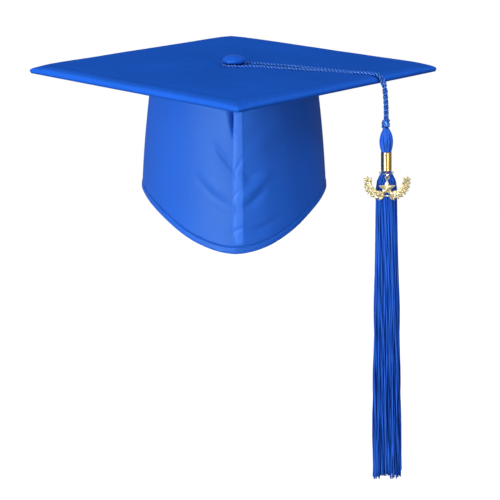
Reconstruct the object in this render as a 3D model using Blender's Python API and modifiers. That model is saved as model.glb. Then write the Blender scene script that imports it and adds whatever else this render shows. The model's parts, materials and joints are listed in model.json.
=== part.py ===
"""A graduation cap: a padded square board on a soft crown with a peaked front, a covered button, and a tassel.

Metres, +Z up. The origin is the centre of the head opening, level with the hem at the wearer's ears.
The board's corners point along X and Y, and the front of the cap faces -Y.
"""

import math

import bmesh
import bpy
from mathutils import Matrix, Vector

MM = 0.001
GAP = 0.3 * MM  # clearance left between two pieces that touch

# Board: a card core, a thin foam pad, and a cloth cover above and below
BOARD_SIDE = 241 * MM
BOARD_TOP = 104 * MM  # height above the head opening
BOARD_CORNER = 2.0 * MM  # radius of each corner in plan
BOARD_EDGE = 2.2 * MM  # roll of the top cover over the edge
COVER_THICK = 0.6 * MM
PAD_THICK = 1.7 * MM
CORE_THICK = 2.2 * MM
DIMPLE_DEPTH = 1.1 * MM  # the button pulls the padding down in the middle
DIMPLE_FLAT = 10 * MM  # radius of the dimple's level floor
DIMPLE_RADIUS = 22 * MM

# Crown: half width and half length of its plan, at the board and at the hem
CROWN_WIDE_TOP = 70.5 * MM
CROWN_WIDE_HEM = 79.2 * MM
CROWN_LONG_TOP = 87.5 * MM
CROWN_LONG_HEM = 95.0 * MM
CROWN_BULGE = 0.9 * MM
PROW_POWER = 1.55  # 2 would make the front a plain ellipse
PEAK_DROP = 31.8 * MM  # how far the front of the hem hangs below its sides
PEAK_ANGLE = 81  # degrees either side of the front where the hem is level again
BACK_RISE = 8 * MM
PANEL_THICK = 0.8 * MM
STIFFENER_THICK = 0.8 * MM
STIFFENER_COLUMN = 12  # the stiffener ends at this column of the crown
LINING_THICK = 0.5 * MM
FACING_THICK = 1.2 * MM
FACING_HEIGHT = 12 * MM
ELASTIC_THICK = 1.0 * MM
ELASTIC_COLUMN = 22  # the elastic starts at this column of the crown
SEAM_BAND_ANGLE = 3.9  # degrees either side of the front
SEAM_BAND_THICK = 0.8 * MM
BINDING_HEIGHT = 9 * MM
PANEL_STEPS = 30  # columns round half of the crown, closer together towards the front

# Button in the middle of the board
BUTTON_RADIUS = 9.5 * MM
BUTTON_RISE = 8.0 * MM  # top of the button above the board
BUTTON_CLOTH = 0.55 * MM
BUTTON_METAL = 0.5 * MM
SHANK_RADIUS = 1.5 * MM
SHANK_HOLE = 1.9 * MM
WASHER_RADIUS = 7.0 * MM

# Tassel: a doubled cord from the button over the front right edge
CORD_RADIUS = 1.2 * MM
LOOP_RADIUS = 9.2 * MM  # of the loop round the foot of the button, at the cord's middle
TWIN_RADIUS = 2.2 * MM  # of the two cords twisted together where they hang
TASSEL_AZIMUTH = math.radians(-25.5)
LEAN = math.radians(1.7)  # the stiff cord holds the tassel a little outwards
LIFT_OUT = 1.5 * MM  # the axis that the hanging part lifts about, out from the board's edge
LIFT_DOWN = 2.5 * MM  # and down from the board's top
DROP_OUT = 7.2 * MM  # from the board's edge to the top of the knot
KNOT_TOP = 34.5 * MM  # down from the board's top; the next four are measured so along the leaning tassel
HEAD_TOP = 42.2 * MM
BAND_TOP = 61.5 * MM
BAND_BOTTOM = 77.3 * MM
SKIRT_BOTTOM = 349 * MM
KNOT_RADIUS = 3.6 * MM
HEAD_RADIUS = 5.6 * MM
BAND_RADIUS = 4.35 * MM
BAND_WALL = 0.35 * MM
SKIRT_FLAT = 0.70  # depth of the skirt over its width

# Charm: a star between two laurel sprays, hung from a ring round the tassel's neck
RING_RADIUS = 5.6 * MM
RING_WIRE = 0.45 * MM
RING_FORWARD = 0.6 * MM  # the ring rests against the back of the neck
BAIL_RADIUS = 2.0 * MM
BAIL_WIRE = 0.35 * MM
CHARM_THICK = 1.0 * MM
STAR_RADIUS = 7.4 * MM
STAR_INNER = 3.3 * MM
SPRAY_DROP = 8.0 * MM  # from the star's middle down to the foot of the sprays
LEAF = (3.2 * MM, 0.46 * MM, 1.3 * MM)  # half sizes of a leaf: along, thick, across
LEAVES_A_SIDE = 5
EYELET_RADIUS = 1.4 * MM
EYELET_WIRE = 0.42 * MM

CLOTH_BLUE = (0.020, 0.095, 0.480)
LINING_BLUE = (0.015, 0.075, 0.380)
CORD_BLUE = (0.018, 0.085, 0.450)
CARD_GREY = (0.45, 0.40, 0.33)
FOAM_WHITE = (0.80, 0.80, 0.78)
STEEL_GREY = (0.62, 0.63, 0.65)
GOLD = (0.80, 0.60, 0.24)
PALE_GOLD = (0.85, 0.76, 0.48)

# Heights that follow from the sizes above
COVER_UNDER = BOARD_TOP - COVER_THICK
PAD_TOP = COVER_UNDER - GAP
PAD_UNDER = PAD_TOP - PAD_THICK
CORE_TOP = PAD_UNDER - GAP
CORE_UNDER = CORE_TOP - CORE_THICK
UNDER_TOP = CORE_UNDER - GAP
BOARD_UNDER = UNDER_TOP - COVER_THICK
CROWN_TOP = BOARD_UNDER - GAP
DIMPLE_TOP = BOARD_TOP - DIMPLE_DEPTH
BUTTON_UNDER = DIMPLE_TOP + 2 * CORD_RADIUS + 2 * GAP
EDGE_RADIUS = BOARD_SIDE / math.sqrt(2) / (math.cos(TASSEL_AZIMUTH) - math.sin(TASSEL_AZIMUTH))
OUTWARD = Vector((math.cos(TASSEL_AZIMUTH), math.sin(TASSEL_AZIMUTH), 0))
SIDEWAYS = Vector((-math.sin(TASSEL_AZIMUTH), math.cos(TASSEL_AZIMUTH), 0))
TASSEL_LEAN = Matrix.Rotation(-LEAN, 4, SIDEWAYS)

PARTS = "graduation_cap"
HELPERS = "helpers"


# ---------------------------------------------------------------- scene and materials

def clear_scene():
    for obj in list(bpy.data.objects):
        bpy.data.objects.remove(obj)
    for name in (PARTS, HELPERS):
        collection = bpy.data.collections.new(name)
        bpy.context.scene.collection.children.link(collection)


def material(name, colour, roughness, metallic=0.0):
    made = bpy.data.materials.new(name)
    made.use_nodes = True
    shader = made.node_tree.nodes["Principled BSDF"]
    shader.inputs["Base Color"].default_value = (*colour, 1)
    shader.inputs["Roughness"].default_value = roughness
    shader.inputs["Metallic"].default_value = metallic
    made.diffuse_color = (*colour, 1)
    return made


def finish_part(name, data, look, parent=None):
    """A new part from a mesh or a curve, with its own material."""
    obj = bpy.data.objects.new(name, data)
    bpy.data.collections[PARTS].objects.link(obj)
    data.materials.append(material(name, *look))
    obj.parent = parent
    return obj


def add_empty(name, location):
    """A pivot that the parts of one moving body hang from."""
    obj = bpy.data.objects.new(name, None)
    obj.location = location
    bpy.data.collections[HELPERS].objects.link(obj)
    return obj


def shade_smooth(mesh, angle=40):
    mesh.shade_smooth()
    mesh.set_sharp_from_angle(angle=math.radians(angle))


def mesh_from(name, points, faces):
    mesh = bpy.data.meshes.new(name)
    mesh.from_pydata(points, [], faces)
    shade_smooth(mesh)
    return mesh


# ---------------------------------------------------------------- shape helpers

def turned(name, profile, look, at=(0, 0, 0), steps=24, closed=False, parent=None, squeeze=1.0):
    """A profile of (radius, height) points, turned round Z. squeeze flattens the result along Y."""
    mesh = bpy.data.meshes.new(name)
    count = len(profile)
    edges = [(i, i + 1) for i in range(count - 1)]
    if closed:
        edges.append((count - 1, 0))
    mesh.from_pydata([(radius, 0, height) for radius, height in profile], edges, [])
    obj = finish_part(name, mesh, look, parent)
    screw = obj.modifiers.new("turn", "SCREW")
    screw.steps = steps
    screw.render_steps = steps
    screw.use_merge_vertices = True
    screw.merge_threshold = 1e-6
    screw.use_smooth_shade = True
    obj.location = at
    obj.scale = (1, squeeze, 1)
    return obj


def lofted_ring(name, rings, look):
    """A body made of closed rings of points, each joined to the next, and the last to the first."""
    count = len(rings[0])
    points = [point for ring in rings for point in ring]
    faces = []
    for i in range(len(rings)):
        low, high = i * count, (i + 1) % len(rings) * count
        for j in range(count):
            k = (j + 1) % count
            faces.append((low + j, low + k, high + k, high + j))
    return finish_part(name, mesh_from(name, points, faces), look)


def tube(name, route, radius, look, parent=None):
    """A round cord along a list of points."""
    curve = bpy.data.curves.new(name, "CURVE")
    curve.dimensions = "3D"
    curve.bevel_depth = radius
    curve.bevel_resolution = 2
    curve.use_fill_caps = True
    spline = curve.splines.new("POLY")
    spline.points.add(len(route) - 1)
    offset = parent.location if parent else Vector()
    for point, place in zip(spline.points, route):
        point.co = (*(place - offset), 1)
    spline.use_smooth = True
    return finish_part(name, curve, look, parent)


def through(points, count):
    """Points spread evenly along a smooth curve that passes through the given ones (Catmull-Rom)."""
    padded = [2 * points[0] - points[1], *points, 2 * points[-1] - points[-2]]
    fine = []
    for a, b, c, d in zip(padded, padded[1:], padded[2:], padded[3:]):
        for i in range(12):
            t = i / 12
            fine.append(
                0.5 * (2 * b + (c - a) * t + (2 * a - 5 * b + 4 * c - d) * t**2 + (3 * b - a - 3 * c + d) * t**3)
            )
    fine.append(points[-1])
    lengths = [0.0]
    for a, b in zip(fine, fine[1:]):
        lengths.append(lengths[-1] + (b - a).length)
    even, k = [], 0
    for i in range(count):
        target = lengths[-1] * i / (count - 1)
        while k < len(fine) - 2 and lengths[k + 1] < target:
            k += 1
        even.append(fine[k].lerp(fine[k + 1], (target - lengths[k]) / (lengths[k + 1] - lengths[k])))
    return even


# ---------------------------------------------------------------- board

def square_ring(inset, height):
    """The board's outline, drawn in by inset, as one ring of points. Its corners lie on X and Y."""
    arc_steps, side_steps = 4, 6
    reach = (BOARD_SIDE / 2 - inset) * math.sqrt(2)
    corner = max(BOARD_CORNER - inset, 0.4 * MM)
    centre = reach - corner * math.sqrt(2)
    corners = []
    for quarter in range(4):
        facing = math.radians(90 * quarter)
        middle = Vector((math.cos(facing), math.sin(facing), 0)) * centre
        arc = []
        for i in range(arc_steps + 1):
            angle = facing + math.radians(90 * i / arc_steps - 45)
            arc.append(middle + Vector((math.cos(angle), math.sin(angle), 0)) * corner)
        corners.append(arc)
    ring = []
    for arc, following in zip(corners, corners[1:] + corners[:1]):
        ring += arc
        ring += [arc[-1].lerp(following[0], i / side_steps) for i in range(1, side_steps)]
    return [Vector((point.x, point.y, height)) for point in ring]


def round_ring(radius, height):
    """A circle with the same number of points as square_ring, each facing the same way."""
    return [Vector((p.x, p.y, 0)).normalized() * radius + Vector((0, 0, height)) for p in square_ring(0, 0)]


def dimple_rings(top):
    """Circles from the shank hole out to the dimple's rim, for a surface whose level part is at top."""
    rings = [round_ring(SHANK_HOLE, top - DIMPLE_DEPTH)]
    steps = 4
    for i in range(steps + 1):
        share = i / steps
        depth = DIMPLE_DEPTH * (1 + math.cos(math.pi * share)) / 2
        rings.append(round_ring(DIMPLE_FLAT + (DIMPLE_RADIUS - DIMPLE_FLAT) * share, top - depth))
    return rings


def make_top_cover():
    outside = dimple_rings(BOARD_TOP)
    for i in range(4):
        angle = math.radians(90 * i / 3)
        inset = BOARD_EDGE * (1 - math.sin(angle))
        outside.append(square_ring(inset, BOARD_TOP - BOARD_EDGE * (1 - math.cos(angle))))
    outside.append(square_ring(0, UNDER_TOP + GAP))
    inside = [square_ring(COVER_THICK, UNDER_TOP + GAP)]
    for i in reversed(range(4)):
        angle = math.radians(90 * i / 3)
        roll = BOARD_EDGE - COVER_THICK
        inset = COVER_THICK + roll * (1 - math.sin(angle))
        inside.append(square_ring(inset, COVER_UNDER - roll * (1 - math.cos(angle))))
    inside += reversed(dimple_rings(COVER_UNDER))
    lofted_ring("top_cover", (outside + inside)[::-1], (CLOTH_BLUE, 0.42))


def make_board_padding():
    inset = COVER_THICK + GAP
    rings = dimple_rings(PAD_TOP)
    rings.append(square_ring(inset + 1.6 * MM, PAD_TOP))
    rings.append(square_ring(inset + 0.4 * MM, PAD_TOP - 0.6 * MM))
    rings.append(square_ring(inset, PAD_UNDER))
    rings.append(round_ring(SHANK_HOLE, PAD_UNDER))
    lofted_ring("board_padding", rings[::-1], (FOAM_WHITE, 0.9))


def make_flat_layer(name, inset, top, under, look):
    rings = [
        round_ring(SHANK_HOLE, top),
        square_ring(inset, top),
        square_ring(inset, under),
        round_ring(SHANK_HOLE, under),
    ]
    lofted_ring(name, rings[::-1], look)


def make_board():
    make_top_cover()
    make_board_padding()
    make_flat_layer("board_core", COVER_THICK + GAP, CORE_TOP, CORE_UNDER, (CARD_GREY, 0.85))
    make_flat_layer("under_cover", 0.2 * MM, UNDER_TOP, BOARD_UNDER, (CLOTH_BLUE, 0.45))


# ---------------------------------------------------------------- crown

def crown_point(degrees, height, inset=0.0):
    """A point of the crown's wall. Degrees run from the front, positive towards +X."""
    share = (CROWN_TOP - height) / CROWN_TOP
    bulge = CROWN_BULGE * math.sin(math.pi * min(max(share, 0), 1))
    wide = CROWN_WIDE_TOP + (CROWN_WIDE_HEM - CROWN_WIDE_TOP) * share + bulge - inset
    long = CROWN_LONG_TOP + (CROWN_LONG_HEM - CROWN_LONG_TOP) * share + bulge - inset
    across = math.sin(math.radians(degrees))
    if abs(degrees) <= 90:
        along = -math.sqrt(max(1 - abs(across) ** PROW_POWER, 0))
    else:
        along = -math.cos(math.radians(degrees))
    return Vector((wide * across, long * along, height))


def hem_height(degrees):
    """The lower edge of the crown: a peak at the front, level at the sides, and a little higher behind."""
    turn = abs(degrees)
    if turn < PEAK_ANGLE:
        return -PEAK_DROP * (1 + math.cos(math.pi * turn / PEAK_ANGLE)) / 2
    behind = (turn - PEAK_ANGLE) / (180 - PEAK_ANGLE)
    return BACK_RISE * (1 - math.cos(math.pi * behind)) / 2


def column_angle(index):
    """Degrees from the front to one of the columns of a crown panel."""
    share = index / PANEL_STEPS
    return 180 * (0.7 * share + 0.3 * share**2)


def column_angles(start, end):
    """The angles of a sheet's columns. Every sheet shares them, so that layers stay parallel."""
    half = [column_angle(i) for i in range(PANEL_STEPS + 1)]
    shared = sorted({-turn for turn in half} | set(half) | {360 - turn for turn in half})
    return [start, *(turn for turn in shared if start + 0.7 < turn < end - 0.7), end]


def crown_sheet(name, start, end, low, high, inset, thick, look, rows=6):
    """A curved sheet of the crown between two angles. low and high give its edges' heights at an angle."""
    points, faces = [], []
    angles = column_angles(start, end)
    for degrees in angles:
        for j in range(rows + 1):
            height = low(degrees) + (high(degrees) - low(degrees)) * j / rows
            points.append(crown_point(degrees, height, inset))
    for i in range(len(angles) - 1):
        for j in range(rows):
            corner = i * (rows + 1) + j
            faces.append((corner, corner + rows + 1, corner + rows + 2, corner + 1))
    obj = finish_part(name, mesh_from(name, points, faces), look)
    solidify = obj.modifiers.new("thickness", "SOLIDIFY")
    solidify.thickness = thick
    solidify.offset = -1
    return obj


def crown_ring(name, low, high, inset, thick, look):
    """A band that runs all the way round inside the crown, as one closed ring."""
    rings = []
    for depth, height in ((inset, low), (inset, high), (inset + thick, high), (inset + thick, low)):
        rings.append([crown_point(degrees, height, depth) for degrees in column_angles(-180, 180)[:-1]])
    lofted_ring(name, rings, look)


def level(height):
    return lambda degrees: height


def above_hem(rise):
    return lambda degrees: hem_height(degrees) + rise


def make_crown():
    cloth = (CLOTH_BLUE, 0.42)
    lining = (LINING_BLUE, 0.6)
    facing_inset = PANEL_THICK + GAP
    lining_inset = facing_inset + STIFFENER_THICK + GAP
    above_facing = above_hem(FACING_HEIGHT + 2 * GAP)
    seam, wide_seam = 0.15, 0.45  # degrees left open at a seam
    stiff = column_angle(STIFFENER_COLUMN)
    elastic = column_angle(ELASTIC_COLUMN)
    for side, sign in (("right", 1), ("left", -1)):
        ends = sorted((sign * seam, sign * (180 - seam)))
        lining_ends = sorted((sign * wide_seam, sign * (180 - wide_seam)))
        facing_ends = sorted((sign * wide_seam, sign * (elastic - 1)))
        crown_sheet(f"crown_panel_{side}", *ends, hem_height, level(CROWN_TOP), 0, PANEL_THICK, cloth)
        crown_sheet(
            f"crown_lining_{side}", *lining_ends, above_facing, level(CROWN_TOP),
            lining_inset, LINING_THICK, lining, rows=4,
        )
        crown_sheet(
            f"hem_facing_{side}", *facing_ends, hem_height, above_hem(FACING_HEIGHT),
            facing_inset, FACING_THICK, cloth, rows=1,
        )
    crown_sheet(
        "front_stiffener", -stiff, stiff, above_facing, level(CROWN_TOP - 2 * MM),
        facing_inset, STIFFENER_THICK, ((0.75, 0.75, 0.72), 0.9), rows=4,
    )
    crown_sheet(
        "front_seam_band", -SEAM_BAND_ANGLE, SEAM_BAND_ANGLE, above_hem(0.5 * MM), level(CROWN_TOP),
        -GAP - SEAM_BAND_THICK, SEAM_BAND_THICK, cloth,
    )
    crown_sheet(
        "back_elastic", elastic, 360 - elastic, above_hem(1.2 * MM), above_hem(10.8 * MM),
        facing_inset, ELASTIC_THICK, ((0.85, 0.85, 0.83), 0.8), rows=1,
    )
    crown_sheet(
        "elastic_casing", elastic, 360 - elastic, hem_height, above_hem(FACING_HEIGHT),
        facing_inset + ELASTIC_THICK + GAP, LINING_THICK, cloth, rows=1,
    )
    crown_ring(
        "crown_binding", CROWN_TOP - BINDING_HEIGHT, CROWN_TOP, lining_inset + LINING_THICK + GAP,
        COVER_THICK, (LINING_BLUE, 0.6),
    )


# ---------------------------------------------------------------- button

def dome(radius, foot, top, start=90, steps=6):
    """Points of a rounded dome from its middle out to its widest ring, as (radius, height)."""
    points = []
    for i in range(steps + 1):
        angle = math.radians(start * (1 - i / steps))
        points.append((radius * math.cos(angle) ** 0.92, foot + (top - foot) * math.sin(angle)))
    return points


def make_button():
    top = BOARD_TOP + BUTTON_RISE
    foot = BUTTON_UNDER + 1.6 * MM  # height of the widest ring
    curl = 7.2 * MM  # the cloth is turned under as far as this radius
    inner = BUTTON_RADIUS - BUTTON_CLOTH
    outside = dome(BUTTON_RADIUS, foot, top)
    outside += [(BUTTON_RADIUS - 0.4 * MM, foot - 0.9 * MM), (BUTTON_RADIUS - 1.3 * MM, BUTTON_UNDER)]
    outside.append((curl, BUTTON_UNDER))
    inside = [(curl, BUTTON_UNDER + BUTTON_CLOTH), (inner - 0.6 * MM, BUTTON_UNDER + BUTTON_CLOTH)]
    inside += reversed(dome(inner, foot, top - BUTTON_CLOTH))
    turned("button_cover", tidy_axis(outside + inside), (CLOTH_BLUE, 0.45))

    shell = inner - GAP
    outside = dome(shell, foot, top - BUTTON_CLOTH - GAP)
    outside.append((shell - 0.3 * MM, foot - 0.6 * MM))
    inside = [(shell - 0.3 * MM - BUTTON_METAL, foot - 0.6 * MM)]
    inside += reversed(dome(shell - BUTTON_METAL, foot, top - BUTTON_CLOTH - GAP - BUTTON_METAL))
    turned("button_shell", tidy_axis(outside + inside), (STEEL_GREY, 0.35, 1.0), steps=16)

    back_top = BUTTON_UNDER + 0.5 * MM
    ring = [
        (curl - GAP, back_top), (curl - GAP, BUTTON_UNDER),
        (SHANK_HOLE, BUTTON_UNDER), (SHANK_HOLE, back_top),
    ]
    turned("button_back", ring, (STEEL_GREY, 0.4, 1.0), closed=True)

    washer_top = BOARD_UNDER - GAP
    washer_under = washer_top - 0.7 * MM
    ring = [
        (WASHER_RADIUS, washer_top), (WASHER_RADIUS, washer_under),
        (SHANK_HOLE, washer_under), (SHANK_HOLE, washer_top),
    ]
    turned("retaining_washer", ring, (STEEL_GREY, 0.4, 1.0), closed=True)

    head_under = back_top + GAP
    rivet_top = washer_under - GAP
    rivet_under = rivet_top - 0.8 * MM
    profile = [
        (0, head_under + 0.7 * MM), (2.8 * MM, head_under + 0.7 * MM), (3.0 * MM, head_under),
        (SHANK_RADIUS, head_under), (SHANK_RADIUS, rivet_top), (2.8 * MM, rivet_top),
        (2.3 * MM, rivet_under), (0, rivet_under),
    ]
    turned("button_shank", profile, (STEEL_GREY, 0.4, 1.0), steps=16)


def tidy_axis(profile):
    """The profile with its first and last points exactly on the axis."""
    return [(0, profile[0][1]), *profile[1:-1], (0, profile[-1][1])]


# ---------------------------------------------------------------- tassel

def on_board(along, across, lift=0.0):
    """A point of the cord where it lies on the board, by its distance from the button and from the middle line."""
    distance = math.hypot(along, across)
    share = min(max((distance - DIMPLE_FLAT) / (DIMPLE_RADIUS - DIMPLE_FLAT), 0), 1)
    depth = DIMPLE_DEPTH * (1 + math.cos(math.pi * share)) / 2
    height = BOARD_TOP - depth + GAP + CORD_RADIUS + lift
    return OUTWARD * along + SIDEWAYS * across + Vector((0, 0, height))


def over_edge(out, up):
    """A point above the tassel's line on the board, out from the board's edge and up from its top."""
    return OUTWARD * (EDGE_RADIUS + out) + Vector((0, 0, BOARD_TOP + up))


def make_cords(loop_pivot, drop_pivot):
    look = (CORD_BLUE, 0.5)
    strand = [(120, 1.45), (97, 1.6), (78, 3.3), (58, 5.2), (26, 6.6), (15, 7.9), (7, 9.0)]
    out = [on_board(along * MM, side * MM) for along, side in strand]
    turn = []
    for i in range(7):
        angle = math.radians(90 + 30 * i)
        turn.append(on_board(LOOP_RADIUS * math.cos(angle), LOOP_RADIUS * math.sin(angle)))
    back = [on_board(along * MM, -side * MM) for along, side in reversed(strand)]
    tube("cord_top", through(out + turn + back, 62), CORD_RADIUS, look, loop_pivot)

    # the pair's middle line over the edge and down to the knot, in millimetres out from the edge and up
    route = [
        (-5.6, 2.9), (-3.6, 2.9), (-1.4, 2.8), (0.6, 2.2), (2.3, 1.0), (3.5, -0.8), (4.4, -3.4), (5.2, -7.0),
        (5.8, -12.0), (6.3, -17.5), (6.7, -23.0), (7.0, -28.5), (7.2, -34.2),
    ]
    drop = [over_edge(out * MM, up * MM) for out, up in route]
    tube("cord_drop", drop, TWIN_RADIUS, look, drop_pivot)


def make_tassel(pivot):
    """The pieces below the cord, on the leaning axis of their pivot. Heights in the profiles are from the pivot."""
    thread = (CORD_BLUE, 0.5)

    def down(depth):
        return KNOT_TOP - depth

    half = (HEAD_TOP - GAP - KNOT_TOP) / 2
    centre = down(KNOT_TOP) - half
    steps = 8
    profile = []
    for i in range(steps + 1):
        angle = math.radians(90 - 180 * i / steps)
        profile.append((KNOT_RADIUS * math.cos(angle), centre + half * math.sin(angle)))
    turned("cord_knot", tidy_axis(profile), thread, steps=16, parent=pivot)

    top, under = down(HEAD_TOP), down(BAND_TOP - GAP)
    profile = [(0, top)]
    for share, width in ((0.02, 0.34), (0.15, 0.62), (0.32, 0.88), (0.52, 1.0), (0.72, 0.95), (0.88, 0.80), (1, 0.66)):
        profile.append((HEAD_RADIUS * width, top + (under - top) * share))
    profile.append((0, under))
    turned("tassel_head", profile, thread, steps=20, parent=pivot)

    top, under = down(BAND_TOP), down(BAND_BOTTOM)
    inner = BAND_RADIUS - BAND_WALL
    roll = 0.25 * MM
    ring = [
        (BAND_RADIUS - 0.5 * roll, top), (BAND_RADIUS, top - roll), (BAND_RADIUS, under + roll),
        (BAND_RADIUS - 0.5 * roll, under), (inner, under), (inner, top),
    ]
    turned("tassel_band", ring, (GOLD, 0.25, 1.0), closed=True, parent=pivot)
    neck = inner - GAP
    turned("tassel_neck", [(0, top), (neck, top), (neck, under), (0, under)], thread, steps=16, parent=pivot)

    top, under = down(BAND_BOTTOM + GAP), down(SKIRT_BOTTOM)
    profile = [(0, top), (3.6 * MM, top)]
    for depth, radius in ((3.5, 5.6), (8, 7.8), (14, 8.6), (70, 9.7), (170, 11.2), (250, 12.1)):
        profile.append((radius * MM, top - depth * MM))
    profile += [(12.3 * MM, under + 1.5 * MM), (11.6 * MM, under), (0, under)]
    turned("tassel_skirt", profile, thread, steps=20, parent=pivot, squeeze=SKIRT_FLAT)


# ---------------------------------------------------------------- charm

def ring_middle():
    """The middle of the charm's ring, in the leaning frame of the tassel's pivot."""
    return Vector((0, -RING_FORWARD, KNOT_TOP - BAND_BOTTOM - 1.5 * MM))


def ring_front():
    """The front point of that ring, where the charm hangs."""
    return over_edge(DROP_OUT, -KNOT_TOP) + TASSEL_LEAN @ (ring_middle() + Vector((0, -RING_RADIUS, 0)))


def torus_mesh(name, radius, wire, matrix, around):
    bpy.ops.mesh.primitive_torus_add(
        major_radius=radius, minor_radius=wire, major_segments=around, minor_segments=8
    )
    made = bpy.context.object
    mesh = made.data
    bpy.data.objects.remove(made)
    mesh.name = name
    mesh.transform(matrix)
    shade_smooth(mesh, 60)
    return mesh


def add_helper(name, mesh):
    """A hidden mesh that a Boolean joins to the charm."""
    obj = bpy.data.objects.new(name, mesh)
    bpy.data.collections["charm_pieces"].objects.link(obj)
    obj.hide_render = True
    obj.display_type = "WIRE"


def pebble(name, matrix):
    """A helper made from a ball that the matrix places and stretches, for a leaf or a length of stem."""
    mesh = bpy.data.meshes.new(name)
    work = bmesh.new()
    bmesh.ops.create_uvsphere(work, u_segments=6, v_segments=5, radius=1)
    bmesh.ops.transform(work, matrix=matrix, verts=work.verts)
    bmesh.ops.recalc_face_normals(work, faces=work.faces)
    work.to_mesh(mesh)
    work.free()
    add_helper(name, mesh)


def star_mesh(centre):
    """A flat five-pointed star that faces -Y."""
    points, faces = [], []
    for side in (-1, 1):
        for i in range(10):
            radius = STAR_INNER if i % 2 else STAR_RADIUS
            angle = math.radians(90 + 36 * i)
            place = Vector((radius * math.cos(angle), side * CHARM_THICK / 2, radius * math.sin(angle)))
            points.append(centre + place)
    faces.append(tuple(range(10)))
    faces.append(tuple(range(19, 9, -1)))
    for i in range(10):
        k = (i + 1) % 10
        faces.append((k, i, 10 + i, 10 + k))
    return mesh_from("charm_plate", points, faces)


def stem_point(share):
    """The middle line of one laurel spray, from under the star up to the charm's side, as (across, up)."""
    across = 15.6 * MM * math.sin(math.radians(88 * share)) ** 0.9
    up = 1.6 * MM + 12.5 * MM * share**2.1
    return Vector((across, 0, up))


def make_spray(foot, sign):
    """Leaves in pairs along one stem, as helpers. sign is 1 for the spray towards +X and -1 for the other."""

    def lay(middle, angle, length, depth, height, name):
        place = foot + Vector((sign * middle.x, 0, middle.z))
        turn = angle if sign > 0 else math.pi - angle
        size = Matrix.Diagonal((length, depth, height, 1))
        pebble(name, Matrix.Translation(place) @ Matrix.Rotation(-turn, 4, "Y") @ size)

    for i in range(LEAVES_A_SIDE):
        share = 0.16 + 0.84 * i / LEAVES_A_SIDE
        here, ahead = stem_point(share), stem_point(share + 0.04)
        run = math.atan2(ahead.z - here.z, ahead.x - here.x)
        for side in (1, -1):
            angle = run + side * math.radians(38)
            middle = here + Vector((math.cos(angle), 0, math.sin(angle))) * 0.8 * LEAF[0]
            lay(middle, angle, *LEAF, "leaf")
    count = 10
    for i in range(count):
        a, b = stem_point(i / count), stem_point((i + 1) / count)
        lay((a + b) / 2, math.atan2(b.z - a.z, b.x - a.x), (b - a).length * 0.95, 0.40 * MM, 0.65 * MM, "stem")


def make_charm(tassel_pivot, charm_pivot):
    gold = (PALE_GOLD, 0.35, 1.0)
    place = Matrix.Translation(ring_middle())
    finish_part("charm_ring", torus_mesh("charm_ring", RING_RADIUS, RING_WIRE, place, 24), gold, tassel_pivot)

    bail_middle = ring_front() + Vector((0, -0.95, -0.5)) * MM
    upright = Matrix.Rotation(math.radians(90), 4, "Y")
    place = Matrix.Translation(bail_middle - charm_pivot.location) @ upright
    finish_part("charm_bail", torus_mesh("charm_bail", BAIL_RADIUS, BAIL_WIRE, place, 16), gold, charm_pivot)

    eyelet = bail_middle + Vector((0, 0, -BAIL_RADIUS - 0.15 * MM))
    star = eyelet + Vector((0, 0, -STAR_RADIUS - EYELET_RADIUS - 0.1 * MM))
    plate = finish_part("charm_plate", star_mesh(star - charm_pivot.location), gold, charm_pivot)
    pieces = bpy.data.collections.new("charm_pieces")
    bpy.data.collections[HELPERS].children.link(pieces)
    facing = Matrix.Translation(eyelet) @ Matrix.Rotation(math.radians(90), 4, "X")
    add_helper("eyelet", torus_mesh("eyelet", EYELET_RADIUS, EYELET_WIRE, facing, 16))
    for sign in (1, -1):
        make_spray(star + Vector((0, 0, -SPRAY_DROP)), sign)
    join = plate.modifiers.new("sprays", "BOOLEAN")
    join.operation = "UNION"
    join.operand_type = "COLLECTION"
    join.collection = pieces
    join.solver = "EXACT"
    join.use_self = True


def main():
    clear_scene()
    make_board()
    make_crown()
    make_button()
    loop_pivot = add_empty("loop_pivot", Vector((0, 0, BOARD_TOP)))
    drop_pivot = add_empty("drop_pivot", over_edge(LIFT_OUT, -LIFT_DOWN))
    tassel_pivot = add_empty("tassel_pivot", over_edge(DROP_OUT, -KNOT_TOP))
    tassel_pivot.rotation_euler = TASSEL_LEAN.to_euler()
    charm_pivot = add_empty("charm_pivot", ring_front())
    make_cords(loop_pivot, drop_pivot)
    make_tassel(tassel_pivot)
    make_charm(tassel_pivot, charm_pivot)


main()
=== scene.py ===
"""Looks for the graduation cap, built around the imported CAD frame.

Metres, +Z up, the cap's front towards -Y, as in the frame. Each piece has a function of its own. The
crown's layers share one surface and one set of folds, so that they stay parallel, and the tassel is made
of real yarns.
"""

import json
import math

import bmesh
import bpy
import numpy as np
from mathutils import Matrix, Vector


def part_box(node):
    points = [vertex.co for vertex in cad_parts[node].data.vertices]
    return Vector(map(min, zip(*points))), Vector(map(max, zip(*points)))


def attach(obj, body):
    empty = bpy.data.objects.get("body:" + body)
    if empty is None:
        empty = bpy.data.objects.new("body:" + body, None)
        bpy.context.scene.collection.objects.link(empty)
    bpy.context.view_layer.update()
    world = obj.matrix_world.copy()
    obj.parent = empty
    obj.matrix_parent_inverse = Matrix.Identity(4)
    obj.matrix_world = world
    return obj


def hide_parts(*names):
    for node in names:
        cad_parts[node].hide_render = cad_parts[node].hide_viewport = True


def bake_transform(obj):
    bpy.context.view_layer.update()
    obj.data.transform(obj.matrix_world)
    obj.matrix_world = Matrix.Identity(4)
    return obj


MM = 0.001

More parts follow.
